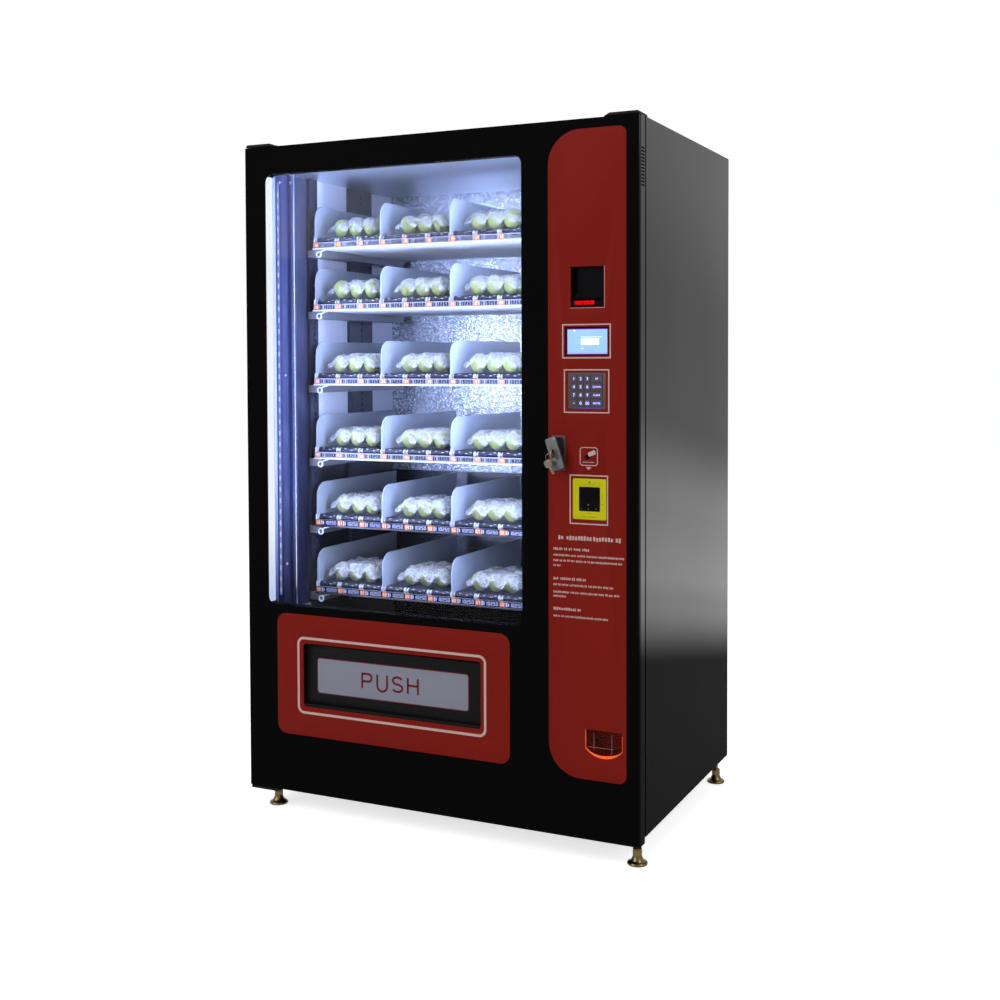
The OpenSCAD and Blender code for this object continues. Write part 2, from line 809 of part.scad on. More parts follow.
module conveyor_belts() {
    color([0.08, 0.08, 0.1]) place() for (n = [0 : trays - 1], i = [0 : belts - 1])
        translate([belt_x(i) - belt_w / 2, 0, tray_z(n) + belt_lift]) rotate([90, 0, 90])
            linear_extrude(belt_w) difference() {
                belt_outline(belt_r);
                belt_outline(belt_r - belt_t);
            }
}

// Side outline of a price rail, with the rounded lip under the labels
module rail_outline() {
    translate([tray_y, -rail_h]) square([rail_t, rail_h]);
    translate([tray_y - rail_lip + rail_lip_t / 2, -rail_h]) square([rail_lip, rail_lip_t]);
    translate([tray_y - rail_lip + rail_lip_t / 2, -rail_h + rail_lip_t / 2]) circle(rail_lip_t / 2);
}

module price_rails() {
    color([0.92, 0.93, 0.95]) place() for (n = [0 : trays - 1])
        translate([tray_x0, 0, tray_z(n)]) rotate([90, 0, 90]) linear_extrude(tray_w) rail_outline();
}

module idler_rollers(n) {
    color([0.88, 0.9, 0.92]) place()
        translate([tray_x0, roller_y, tray_z(n - 1) + belt_lift]) rotate([0, 90, 0]) {
            cylinder(r = roller_shaft_r, h = tray_w);
            for (i = [0 : belts - 1]) translate([0, 0, (i + 0.5) * belt_pitch]) {
                cylinder(r = roller_r, h = belt_w + 2 * (flange_gap + flange_t), center = true);
                for (side = [-1, 1]) translate([0, 0, side * (belt_w / 2 + flange_gap + flange_t / 2)])
                    cylinder(r = flange_r, h = flange_t, center = true);
            }
        }
}

// Lift and delivery

// Guide column with the groove that holds the lift's shoe
module guide() {
    difference() {
        cube([guide_d, guide_w, inner_top - base_top]);
        translate([guide_d - groove_d, (guide_w - groove_w) / 2, -1])
            cube([groove_d + 1, groove_w, inner_top - base_top + 2]);
    }
}

module lift_guides() {
    color([0.72, 0.78, 0.9]) place() {
        translate([inner_left, guide_y, base_top]) guide();
        translate([inner_right, guide_y, base_top]) mirror([1, 0, 0]) guide();
    }
}

module lift_platform() {
    y1 = lift_y + lift_d;
    shoe_y = guide_y + guide_w / 2;
    shoe_w = groove_w / 2 - play;
    shoe_d = groove_d + lift_gap - play;
    color([0.8, 0.82, 0.85]) place() {
        block([lift_x0, lift_y, lift_z], [lift_x1, y1, lift_z + sheet]);
        block([lift_x0, lift_y, lift_z], [lift_x1, lift_y + sheet, lift_z + lift_lip]);
        block([lift_x0, y1 - sheet, lift_z - lift_flange], [lift_x1, y1, lift_z + sheet]);
        for (x = [lift_x0, lift_x1 - sheet])
            block([x, lift_y, lift_z], [x + sheet, y1, lift_z + lift_lip]);
        block([lift_x0 - shoe_d, shoe_y - shoe_w, lift_z],
              [lift_x0 + sheet, shoe_y + shoe_w, lift_z + lift_lip]);
        block([lift_x1 - sheet, shoe_y - shoe_w, lift_z],
              [lift_x1 + shoe_d, shoe_y + shoe_w, lift_z + lift_lip]);
    }
}

module delivery_bin() {
    x0 = hatch_x0 - hatch_wall - bin_margin;
    x1 = hatch_x1 + hatch_wall + bin_margin;
    floor_z = hatch_z0 - hatch_wall - bin_drop;
    y0 = cab_y + bin_gap;
    y1 = y0 + bin_d;
    z1 = lift_z - bin_clear;
    color([0.16, 0.16, 0.18]) place() {
        block([x0, y0, floor_z], [x1, y1, floor_z + sheet]);
        for (x = [x0, x1 - sheet]) block([x, y0, floor_z], [x + sheet, y1, z1]);
        block([x0, y1 - sheet, floor_z], [x1, y1, z1]);
        for (x = [x0 + leg_in, x1 - leg_in - leg_w], y = [y0 + leg_in, y1 - leg_in - leg_w])
            block([x, y, base_top], [x + leg_w, y + leg_w, floor_z]);
    }
}

module control_box() {
    y1 = machine_d - sheet;
    y0 = y1 - board_box_d;
    low_z = base_top + board_box_z;
    color([0.55, 0.57, 0.6]) place() {
        block([column_left, y0, low_z], [column_left + board_box_w, y1, low_z + board_box_h]);
        block([column_left, y0, base_top], [column_left + board_box_w, y1, base_top + power_box_h]);
    }
}

// Hinges and feet

// Hinge plate at the machine's upper left corner, sloped at its ends and stepped down onto the cabinet's top
module top_hinge_plate(reach) {
    x0 = -half_w + hinge_edge;
    x1 = x0 + hinge_w;
    translate([0, 0, door_h]) {
        plate(hinge_edge, cab_y + reach - hinge_edge) polygon([
            [x0, hinge_gap], [x1, hinge_gap], [x1 - hinge_slope, hinge_gap + hinge_t],
            [x0 + hinge_slope / 4, hinge_gap + hinge_t], [x0, hinge_gap + hinge_t / 2]
        ]);
        block([x0, cab_y, 0], [x1 - hinge_slope, cab_y + reach, hinge_gap + 1]);
    }
}

// Hinge plate under the door's lower left corner, with the narrower arm that bolts to the base
module bottom_hinge_plate() {
    x0 = -half_w + hinge_edge;
    block([x0, hinge_edge, -hinge_gap - hinge_t], [x0 + hinge_w, door_t, -hinge_gap]);
    block([x0, hinge_edge, -hinge_gap - hinge_t], [x0 + hinge_arm_w, cab_y + hinge_d, -hinge_gap]);
    block([x0, cab_y, -hinge_gap - 1], [x0 + hinge_arm_w, cab_y + hinge_d, base_z]);
}

module hinge_plates() {
    color([0.09, 0.09, 0.09]) place() {
        top_hinge_plate(hinge_d);
        mirror([1, 0, 0]) top_hinge_plate(cover_d);
        bottom_hinge_plate();
        for (z = [-hinge_gap - 1, door_h + hinge_gap + 1 - hinge_pin_l])
            translate([pivot_x, pivot_y, z]) cylinder(r = hinge_pin_r, h = hinge_pin_l);
    }
}

// Places its children at the four feet, on the base frame's lower face
module feet_at() {
    spots = [
        [-half_w + foot_left, cab_y + foot_front],
        [half_w - foot_side, cab_y + foot_front],
        [-half_w + foot_side, machine_d - foot_rear],
        [half_w - foot_side, machine_d - foot_rear]
    ];
    for (p = spots) translate([p[0], p[1], base_z]) children();
}

// Turned foot: rimmed pad, cone, collar, lock nut and stem
module foot() {
    total = foot_h + base_z;
    collar_r = stem_r + foot_collar;
    translate([0, 0, -total]) rotate_extrude() polygon([
        [0, 0], [pad_r - foot_bevel, 0], [pad_r, foot_bevel], [pad_r, foot_rim_h],
        [pad_r - foot_bevel, foot_rim_h + foot_bevel], [collar_r + foot_bevel, foot_cone_h],
        [collar_r, foot_cone_h + foot_bevel], [collar_r, foot_collar_h], [stem_r, foot_collar_h + foot_bevel],
        [stem_r, total + base_h / 2], [0, total + base_h / 2]
    ]);
    translate([0, 0, -nut_h]) cylinder(r = stem_r + nut_w, h = nut_h, $fn = 6);
}

module levelling_feet() {
    color([0.72, 0.58, 0.3]) place() feet_at() foot();
}

// Door

module door_skin() {
    color([0.05, 0.05, 0.05]) place() difference() {
        linear_extrude(door_h) door_plan(0);
        translate([0, 0, sheet]) linear_extrude(door_h - 2 * sheet) door_plan(sheet);
        block([pivot_x, door_t - sheet - 1, 2 * sheet],
              [half_w - 2 * sheet, door_t + 1, door_h - 2 * sheet]);
        plate(-1, door_t / 2) window_outline(0);
        plate(-1, door_t / 2)
            soft_rect(panel_x0 + panel_lap, panel_z0 + panel_lap, panel_x1 - panel_lap, panel_z1 - panel_lap,
                      panel_big_r - panel_lap, panel_small_r - panel_lap + 1);
        block([hatch_x0 - hatch_wall, -1, hatch_z0 - hatch_wall],
              [hatch_x1 + hatch_wall, door_t / 2, hatch_z1 + hatch_wall]);
        for (i = [0 : louvres - 1])
            translate([half_w - sheet - 1, door_edge_r + louvre_edge, door_h - louvre_drop - i * louvre_pitch])
                cube([sheet + 2, door_t - door_edge_r - 2 * louvre_edge - 2 * sheet, louvre_h]);
        for (z = [-1, door_h - sheet - 1])
            translate([pivot_x, pivot_y, z]) cylinder(r = hinge_pin_r + pin_fit, h = sheet + 2);
    }
}

// Rear cover of the door with the reveal that holds the glass and the boxes of the hinge bushes
module door_inner_panel() {
    x0 = pivot_x;
    x1 = column_left - cover_gap;
    glass_back = sheet + glass_t;
    bush = hinge_pin_r + bush_wall;
    color([0.13, 0.13, 0.14]) place() difference() {
        union() {
            block([x0, door_t - sheet, 2 * sheet], [x1, door_t, door_h - 2 * sheet]);
            plate(glass_back, door_t - glass_back) window_outline(glass_lap - sheet);
            for (z = [sheet, door_h - sheet - hinge_pin_l])
                translate([pivot_x, pivot_y, z]) cylinder(r = bush, h = hinge_pin_l);
            for (z = [sheet, door_h - sheet - hinge_pin_l])
                block([pivot_x, pivot_y, z], [pivot_x + bush, door_t - sheet, z + hinge_pin_l]);
        }
        plate(0, door_t + 1)
            soft_rect(win_x0 - light_w, win_z0, win_x1 + light_w, win_z1, window_r, window_r);
        block([hatch_x0 - hatch_wall, 0, hatch_z0 - hatch_wall],
              [hatch_x1 + hatch_wall, door_t + 1, hatch_z1 + hatch_wall]);
        for (z = [0, door_h - sheet - hinge_pin_l - 1])
            translate([pivot_x, pivot_y, z])
                cylinder(r = hinge_pin_r + pin_fit, h = hinge_pin_l + sheet + 1);
    }
}

module window_glass() {
    color([0.8, 0.9, 0.95, 0.25]) place() plate(sheet, glass_t) window_outline(glass_lap);
}

module door_seal() {
    lip = (partition_t - seal_w) / 2;
    x0 = pivot_x + seal_inset;
    x1 = column_left - lip;
    z0 = base_z + (base_h - seal_w) / 2;
    z1 = inner_top + lip + seal_w;
    color([0.12, 0.12, 0.13]) place() plate(door_t, door_gap) difference() {
        translate([x0, z0]) square([x1 - x0, z1 - z0]);
        translate([x0 + seal_w, z0 + seal_w]) square([x1 - x0 - 2 * seal_w, z1 - z0 - 2 * seal_w]);
    }
}

// Light bars on the left and right side of the window's reveal, between its round corners
module light_bars() {
    color([0.95, 0.97, 1]) place() for (x = [win_x0 - light_w, win_x1])
        block([x, sheet + glass_t, win_z0 + window_r], [x + light_w, door_t, win_z1 - window_r]);
}

// Control panel and its modules

module control_panel() {
    color([0.42, 0.07, 0.05]) place() plate(-panel_t, panel_t) difference() {
        soft_rect(panel_x0, panel_z0, panel_x1, panel_z1, panel_big_r, panel_small_r);
        translate([bill_mid - bill_w / 2, bill_z]) square([bill_w, bill_h]);
        translate([panel_mid - display_w / 2, display_z]) square([display_w, display_h]);
        translate([panel_mid - pad_w / 2 - play, pad_z - play]) square([pad_w + 2 * play, pad_h + 2 * play]);
        soft_rect(card_mid - card_w / 2 - play, card_z - play, card_mid + card_w / 2 + play,
                  card_z + card_h + play, card_r, card_r);
        square_at(lock_mid, lock_z, lock_w - lock_rim, lock_h - lock_rim);
        coin_outline(0);
    }
}

module bill_acceptor() {
    x0 = bill_mid - bill_w / 2;
    x1 = bill_mid + bill_w / 2;
    mouth_z = bill_z + slot_z;
    color([0.05, 0.05, 0.06]) place() difference() {
        union() {
            block([x0 - module_lap, 0, bill_z - module_lap],
                  [x1 + module_lap, bill_recess + mask_t, bill_z + bill_h + module_lap]);
            block([x0 + sheet, bill_recess, bill_z - bill_low], [x1 - sheet, bill_d, bill_z + bill_h + bill_high]);
        }
        block([x0, -1, bill_z + lip_h], [x1, bill_recess, bill_z + bill_h]);
        block([x0, -1, mouth_z + slot_h], [x1, bill_recess - lip_out, bill_z + lip_h + 1]);
        block([x0, -1, bill_z], [x1, lip_sink, mouth_z + slot_h + 1]);
        block([bill_mid - slot_w / 2, -1, mouth_z], [bill_mid + slot_w / 2, slot_d, mouth_z + slot_h]);
    }
}

module display() {
    mid_z = display_z + display_h / 2;
    color([0.06, 0.06, 0.07]) place() difference() {
        plate(0, display_d)
            square_at(panel_mid, mid_z, display_w + 2 * module_lap, display_h + 2 * module_lap);
        plate(-1, display_sink + 1)
            square_at(panel_mid, mid_z, display_w - 2 * display_rim, display_h - 2 * display_rim);
    }
}

module keypad_plate() {
    mid_z = pad_z + pad_h / 2;
    front = -panel_t + pad_sink;
    back = pad_depth - panel_t;
    color([0.32, 0.33, 0.36]) place() difference() {
        union() {
            plate(front, back - front) square_at(panel_mid, mid_z, pad_w, pad_h);
            plate(0, pad_t) square_at(panel_mid, mid_z, pad_w + 2 * module_lap, pad_h + 2 * module_lap);
        }
        plate(pad_t - pad_sink, back - pad_wall - pad_t + pad_sink)
            square_at(panel_mid, mid_z, pad_w - 2 * pad_wall, pad_h - 2 * pad_wall);
        for (r = key_rows, c = key_cols)
            plate(-panel_t, pad_t + panel_t)
                square_at(key_x(c), key_z(r), key_width(c) + 2 * play, key_h + 2 * play);
    }
}

// Key cap with the rim that holds it behind the plate and the stem that meets the switch
module keypad_key(r, c) {
    w = key_width(c);
    front = -panel_t + pad_sink - key_out;
    rim_y = pad_t - pad_sink + play;
    stop = pad_depth - panel_t - pad_wall - key_travel - play;
    color([0.36, 0.37, 0.4]) place() translate([key_x(c), 0, key_z(r)]) {
        plate(front, rim_y + key_rim_t - front) soft_rect(-w / 2, -key_h / 2, w / 2, key_h / 2, key_r, key_r);
        plate(rim_y, key_rim_t) square([w + 2 * key_rim, key_h + 2 * key_rim], center = true);
        plate(rim_y, stop - rim_y) circle(key_stem_r);
    }
}

module card_reader() {
    x0 = card_mid - card_w / 2;
    screen_x = card_mid - card_screen_w / 2;
    screen_z = card_z + (card_h - card_screen_h) / 2;
    front = -panel_t - card_out;
    color([0.75, 0.62, 0.12]) place() difference() {
        union() {
            plate(front, card_d) soft_rect(x0, card_z, x0 + card_w, card_z + card_h, card_r, card_r);
            plate(0, card_lip_t)
                square_at(card_mid, card_z + card_h / 2, card_w + 2 * module_lap, card_h + 2 * module_lap);
        }
        plate(front - 1, card_screen_sink + 1)
            soft_rect(screen_x, screen_z, screen_x + card_screen_w, screen_z + card_screen_h,
                      card_screen_r, card_screen_r);
    }
}

module coin_cup() {
    color([0.3, 0.2, 0.14]) place() difference() {
        union() {
            plate(0, coin_d) coin_outline(-coin_wall);
            plate(0, coin_lip_t) translate([coin_mid - coin_w / 2 - coin_wall, coin_z - coin_side_h])
                square([coin_w + 2 * coin_wall, coin_side_h + coin_wall + coin_lip]);
        }
        plate(-1, coin_d - coin_wall + 1) coin_outline(0);
        translate([coin_mid - coin_w / 2 - coin_wall - 1, coin_hinge_y, coin_hinge_z]) rotate([0, 90, 0])
            cylinder(r = coin_pin_r + pin_fit, h = coin_w + 2 * coin_wall + 2);
    }
}

module coin_flap() {
    inside = coin_w - 2 * coin_gap;
    outside = coin_w + 2 * coin_wall;
    color([0.8, 0.75, 0.65, 0.5]) place() {
        plate(coin_hinge_y - coin_flap_t / 2, coin_flap_t) difference() {
            coin_outline(coin_gap);
            translate([coin_mid - coin_w, coin_hinge_z]) square([2 * coin_w, coin_w]);
        }
        translate([coin_mid, coin_hinge_y, coin_hinge_z]) rotate([0, 90, 0]) {
            cylinder(r = coin_pin_r + coin_roll_wall, h = inside, center = true);
            cylinder(r = coin_pin_r, h = outside, center = true);
        }
    }
}

module lock_plate() {
    front = -panel_t - lock_t;
    pocket_w = lock_w - 2 * lock_rim;
    pocket_h = lock_h - 2 * lock_rim;
    body_w = lock_w - lock_rim - 2 * play;
    body_h = lock_h - lock_rim - 2 * play;
    color([0.6, 0.6, 0.6]) place() translate([lock_mid, 0, lock_z]) difference() {
        union() {
            plate(front, lock_t) soft_rect(-lock_w / 2, -lock_h / 2, lock_w / 2, lock_h / 2, lock_r, lock_r);
            plate(-panel_t, panel_t + lock_body_d) square([body_w, body_h], center = true);
            rotate([-90, 0, 0]) cylinder(r = shaft_r + tube_wall, h = door_t + tube_reach);
        }
        plate(front - 1, lock_body_d - lock_floor - front + 1)
            soft_rect(-pocket_w / 2, -pocket_h / 2, pocket_w / 2, pocket_h / 2, pocket_w / 2 - 1, pocket_w / 2 - 1);
        translate([0, front - 1, 0]) rotate([-90, 0, 0])
            cylinder(r = shaft_r + pin_fit, h = door_t + tube_reach - front + 2);
    }
}

// Sprung T-handle with its shaft and the cam at the shaft's inner end
module lock_handle() {
    cam_y = door_t + tube_reach + play;
    color([0.68, 0.68, 0.68]) place() translate([lock_mid, 0, lock_z]) difference() {
        union() {
            translate([0, handle_y - 1, 0]) rotate([-90, 0, 0])
                cylinder(r = shaft_r, h = cam_y + cam_t - handle_y + 1);
            rotate([0, -handle_tilt, 0]) {
                plate(handle_y - handle_t, handle_t)
                    soft_rect(-handle_w / 2, -handle_l / 2, handle_w / 2, handle_l / 2, handle_r, handle_r);
                block([-shaft_r, cam_y, -shaft_r], [shaft_r, cam_y + cam_t, cam_l]);
            }
        }
        translate([0, handle_y - handle_t - 1, 0]) rotate([-90, 0, 0])
            cylinder(r = key_barrel_r + pin_fit, h = handle_t + barrel_back + 1 + play);
    }
}

// Key in its turning barrel, with a holed bow
module lock_key() {
    face_y = handle_y - handle_t;
    neck = key_bow / 3;
    color([0.75, 0.7, 0.55]) place() translate([lock_mid, 0, lock_z]) {
        translate([0, face_y, 0]) rotate([-90, 0, 0]) cylinder(r = key_barrel_r, h = handle_t + barrel_back);
        block([-key_t / 2, face_y - neck, -neck / 2], [key_t / 2, face_y + 1, neck / 2]);
        translate([-key_t / 2, 0, 0]) rotate([90, 0, 90]) linear_extrude(key_t) difference() {
            translate([face_y - key_bow / 2, 0]) circle(key_bow / 2);
            translate([face_y - key_bow + 2 * key_hole_r, 0]) circle(key_hole_r);
        }
    }
}

// Delivery hatch

module hatch_panel() {
    color([0.42, 0.07, 0.05]) place() plate(-panel_t, panel_t) difference() {
        soft_rect(hpanel_x0, hatch_panel_z, hpanel_x1, hpanel_z1, hatch_panel_r, hatch_panel_r);
        soft_rect(hatch_x0, hatch_z0, hatch_x1, hatch_z1, hatch_r, hatch_r);
    }
}

module hatch_surround() {
    x0 = hatch_x0 - hatch_wall;
    x1 = hatch_x1 + hatch_wall;
    stop_y = flap_axis_y - flap_t / 2 - play;
    color([0.05, 0.05, 0.05]) place() difference() {
        union() {
            plate(0, door_t + hatch_out) difference() {
                translate([x0, hatch_z0 - hatch_wall])
                    square([x1 - x0, hatch_h + 2 * hatch_wall]);
                translate([hatch_x0, hatch_z0]) square([hatch_w, hatch_h]);
            }
            block([hatch_x0 - 1, 0, hatch_z0 - 1], [hatch_x1 + 1, stop_y, hatch_z0 + flap_stop_h]);
        }
        translate([x0 - 1, flap_axis_y, flap_axis_z]) rotate([0, 90, 0])
            cylinder(r = flap_pin_r + pin_fit, h = x1 - x0 + 2);
    }
}

module delivery_flap() {
    w = hatch_w - 2 * flap_gap;
    x0 = hatch_x0 + flap_gap;
    color([0.05, 0.05, 0.05]) place() {
        block([x0, flap_axis_y - flap_t / 2, hatch_z0 + flap_gap],
              [x0 + w, flap_axis_y + flap_t / 2, flap_axis_z]);
        translate([x0, flap_axis_y, flap_axis_z]) rotate([0, 90, 0]) cylinder(r = flap_roll_r, h = w);
        translate([hatch_x0 - hatch_wall, flap_axis_y, flap_axis_z]) rotate([0, 90, 0])
            cylinder(r = flap_pin_r, h = hatch_w + 2 * hatch_wall);
    }
}

left_side_panel();
right_side_panel();
top_panel();
rear_panel();
base_frame();
left_inner_wall();
rear_inner_wall();
partition_wall();
tray_uprights();
tray_runners();
tray_pans();
lane_dividers();
conveyor_belts();
price_rails();
idler_rollers(1);  // idler_rollers_1
idler_rollers(2);  // idler_rollers_2
idler_rollers(3);  // idler_rollers_3
idler_rollers(4);  // idler_rollers_4
idler_rollers(5);  // idler_rollers_5
idler_rollers(6);  // idler_rollers_6
lift_guides();
lift_platform();
delivery_bin();
control_box();
hinge_plates();
levelling_feet();
door_skin();
door_inner_panel();
window_glass();
door_seal();
light_bars();
control_panel();
bill_acceptor();
display();
keypad_plate();
card_reader();
coin_cup();
lock_plate();
hatch_panel();
hatch_surround();
delivery_flap();
coin_flap();
lock_handle();
lock_key();
keypad_key(0, 0);  // key_r1_c1
keypad_key(0, 1);  // key_r1_c2
keypad_key(0, 2);  // key_r1_c3
keypad_key(0, 3);  // key_r1_c4
keypad_key(1, 0);  // key_r2_c1
keypad_key(1, 1);  // key_r2_c2
keypad_key(1, 2);  // key_r2_c3
keypad_key(1, 3);  // key_r2_c4
keypad_key(2, 0);  // key_r3_c1
keypad_key(2, 1);  // key_r3_c2
keypad_key(2, 2);  // key_r3_c3
keypad_key(2, 3);  // key_r3_c4
keypad_key(3, 0);  // key_r4_c1
keypad_key(3, 1);  // key_r4_c2
keypad_key(3, 2);  // key_r4_c3
keypad_key(3, 3);  // key_r4_c4
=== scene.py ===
"""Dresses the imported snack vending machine: finishes, goods, printed marks, camera and studio.

Every shape is given in millimetres in the door's own frame: x to the right from a line 600 mm left
of the door's right edge, y backwards from the door's front face, z up from the door's lower edge.
"""
import json
import logging
import math
from dataclasses import dataclass
from enum import Enum

import bmesh
import bpy
import numpy as np
from mathutils import Matrix, Vector

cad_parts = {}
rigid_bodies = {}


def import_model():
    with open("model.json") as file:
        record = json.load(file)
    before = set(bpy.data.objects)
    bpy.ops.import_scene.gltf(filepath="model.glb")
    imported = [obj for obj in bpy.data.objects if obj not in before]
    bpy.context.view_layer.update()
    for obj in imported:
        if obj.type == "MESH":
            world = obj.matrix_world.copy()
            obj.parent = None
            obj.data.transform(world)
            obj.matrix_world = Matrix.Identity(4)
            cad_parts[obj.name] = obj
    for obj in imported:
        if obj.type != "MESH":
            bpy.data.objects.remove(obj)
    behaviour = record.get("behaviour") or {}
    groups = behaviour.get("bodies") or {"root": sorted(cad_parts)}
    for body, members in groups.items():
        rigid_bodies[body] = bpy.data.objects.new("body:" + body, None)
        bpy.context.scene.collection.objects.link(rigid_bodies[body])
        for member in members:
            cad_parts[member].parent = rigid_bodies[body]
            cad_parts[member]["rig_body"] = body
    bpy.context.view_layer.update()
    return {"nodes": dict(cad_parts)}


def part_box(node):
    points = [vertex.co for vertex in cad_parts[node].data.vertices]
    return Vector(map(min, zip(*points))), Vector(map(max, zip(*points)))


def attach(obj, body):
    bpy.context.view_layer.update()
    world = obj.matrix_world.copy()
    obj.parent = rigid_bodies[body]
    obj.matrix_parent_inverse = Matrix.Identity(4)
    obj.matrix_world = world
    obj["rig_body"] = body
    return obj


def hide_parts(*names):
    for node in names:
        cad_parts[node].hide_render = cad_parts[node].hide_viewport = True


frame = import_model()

RIGHT_EDGE = 0.6
METRES = 0.001
DOOR_LOW, DOOR_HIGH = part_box("door_skin")
ORIGIN = np.array([DOOR_HIGH.x - RIGHT_EDGE, DOOR_LOW.y, DOOR_LOW.z])
LOG = logging.getLogger("vending_machine")

Rgb = tuple[float, float, float]
Point = tuple[float, float, float]
Pair = tuple[float, float]
Box = tuple[float, float, float, float]
Node = bpy.types.Node
Socket = bpy.types.NodeSocket
Tree = bpy.types.NodeTree


class Body(Enum):
    """The moving bodies that a piece can ride on."""

    CABINET = "cabinet"
    DOOR = "door"
    FLAP = "flap"
    COIN_DOOR = "coin_door"
    TURNKEY = "turnkey"


class Axis(Enum):
    """The axes that shapes are turned about."""

    Y = "Y"
    Z = "Z"


# Surfaces


@dataclass
class Patch:
    """Points in millimetres in the door's frame, with the faces between them."""

    points: np.ndarray
    faces: list[tuple[int, ...]]

    def moved(self, x: float = 0.0, y: float = 0.0, z: float = 0.0) -> "Patch":
        """A copy shifted by x, y and z."""
        return Patch(self.points + np.array([x, y, z]), self.faces)

    def turned(self, axis: Axis, degrees: float, about: Point) -> "Patch":
        """A copy turned about a point.

        Args:
            axis: The axis of the turn.
            degrees: The angle by the right-hand rule.
            about: The fixed point.

        Returns:
            The turned patch, p' = R (p - c) + c.
        """
        turn = np.array(Matrix.Rotation(math.radians(degrees), 3, axis.value))
        centre = np.array(about)
        return Patch((self.points - centre) @ turn.T + centre, self.faces)


def joined(patches: list[Patch]) -> Patch:
    """One patch made of several.

    Args:
        patches: The patches to join.

    Returns:
        All points stacked, with each patch's face numbers raised by the points before it.
    """
    starts = np.cumsum([0] + [len(p.points) for p in patches[:-1]])
    faces = [tuple(i + int(s) for i in f) for p, s in zip(patches, starts) for f in p.faces]
    return Patch(np.concatenate([p.points for p in patches]), faces)


def grid(points: np.ndarray, close_u: bool = False, close_v: bool = False, caps: bool = False) -> Patch:
    """A surface over a grid of points.

    Args:
        points: The points as an array of rows, columns and coordinates.
        close_u: The last row joins the first.
        close_v: The last column joins the first.
        caps: The first and last rows are filled with one face each.

    Returns:
        The patch, whose face (i, j) joins points (i, j), (i, j+1), (i+1, j+1) and (i+1, j).
    """
    nu, nv = points.shape[:2]
    rows, columns = np.arange(nu if close_u else nu - 1), np.arange(nv if close_v else nv - 1)
    i, j = np.meshgrid(rows, columns, indexing="ij")
    i2, j2 = (i + 1) % nu, (j + 1) % nv
    quads = np.stack([i * nv + j, i * nv + j2, i2 * nv + j2, i2 * nv + j], axis=-1).reshape(-1, 4)
    faces = [tuple(q) for q in quads.tolist()]
    if caps:
        faces += [tuple(range(nv))[::-1], tuple(range((nu - 1) * nv, nu * nv))]
    return Patch(points.reshape(-1, 3), faces)


def solid(rows: np.ndarray) -> Patch:
    """A body whose rows are closed loops, filled at its first and last row."""
    return grid(rows, close_v=True, caps=True)


def full_turn(n: int) -> np.ndarray:
    """The angles of n even steps round a circle."""
    return np.linspace(0, 2 * np.pi, n, endpoint=False)


def soft_loop(box: Box, r: float, inset: float = 0.0, steps: int = 8) -> np.ndarray:
    """A rectangle with round corners.

    Args:
        box: Left, lower, right and upper side.
        r: Radius of the corners.
        inset: Distance by which the loop is drawn in.
        steps: Segments in a corner.

    Returns:
        Points (x, z), four quarter circles c + r (cos t, sin t) in turn.
    """
    r = max(r - inset, 0.05)
    x0, z0, x1, z1 = box[0] + inset, box[1] + inset, box[2] - inset, box[3] - inset
    corners = [(x1 - r, z1 - r, 0), (x0 + r, z1 - r, 90), (x0 + r, z0 + r, 180), (x1 - r, z0 + r, 270)]
    t = np.radians(np.linspace(0, 90, steps + 1))
    arcs = [np.stack([x + r * np.cos(t + math.radians(a)), z + r * np.sin(t + math.radians(a))], axis=-1)
            for x, z, a in corners]
    return np.concatenate(arcs)


def at_depth(loop: np.ndarray, y: float) -> np.ndarray:
    """A flat loop of (x, z) as points at depth y."""
    return np.stack([loop[:, 0], np.full(len(loop), y), loop[:, 1]], axis=-1)


def soft_plate(box: Box, y0: float, y1: float, r: float, edge: float = 0.6, dish: float = 0.0,
               steps: int = 8) -> Patch:
    """An upright plate with round corners and a rounded front edge.

    Args:
        box: Left, lower, right and upper side.
        y0: Front face.
        y1: Back face.
        r: Corner radius.
        edge: Radius of the front edge.
        dish: Depth by which the middle of the front sinks.
        steps: Segments in a corner.

    Returns:
        Rings of the loop drawn in by e (1 - sin t) at depth y0 + e (1 - cos t), closed at both ends.
    """
    t = np.radians(np.array([0.0, 30.0, 60.0, 90.0]))
    drawn = list(edge * (1 - np.sin(t)))
    depth = list(y0 + edge * (1 - np.cos(t)))
    if dish > 0:
        span = min(box[2] - box[0], box[3] - box[1]) / 2
        drawn = [span * 0.62, span * 0.36] + drawn
        depth = [y0 + dish, y0 + dish * 0.55] + depth
    drawn.append(0.0)
    depth.append(y1)
    rings = [at_depth(soft_loop(box, r, d, steps), y) for d, y in zip(drawn, depth)]
    return solid(np.stack(rings))


def block(box: Box, y0: float, y1: float, edge: float) -> Patch:
    """A plate with tight corners and rounded front edges."""
    return soft_plate(box, y0, y1, edge * 1.2, edge, steps=2)


def ring_frame(box: Box, width: float, y0: float, y1: float, r: float, steps: int = 6) -> Patch:
    """A flat frame line.

    Args:
        box: Left, lower, right and upper outer side.
        width: Width of the line.
        y0: Front face.
        y1: Back face.
        r: Outer corner radius.
        steps: Segments in a corner.

    Returns:
        Four loops, outer back, outer front, inner front and inner back, joined in a ring.
    """
    loops = [(0.0, y1), (0.0, y0), (width, y0), (width, y1)]
    rings = [at_depth(soft_loop(box, r, d, steps), y) for d, y in loops]
    return grid(np.stack(rings), close_u=True, close_v=True)


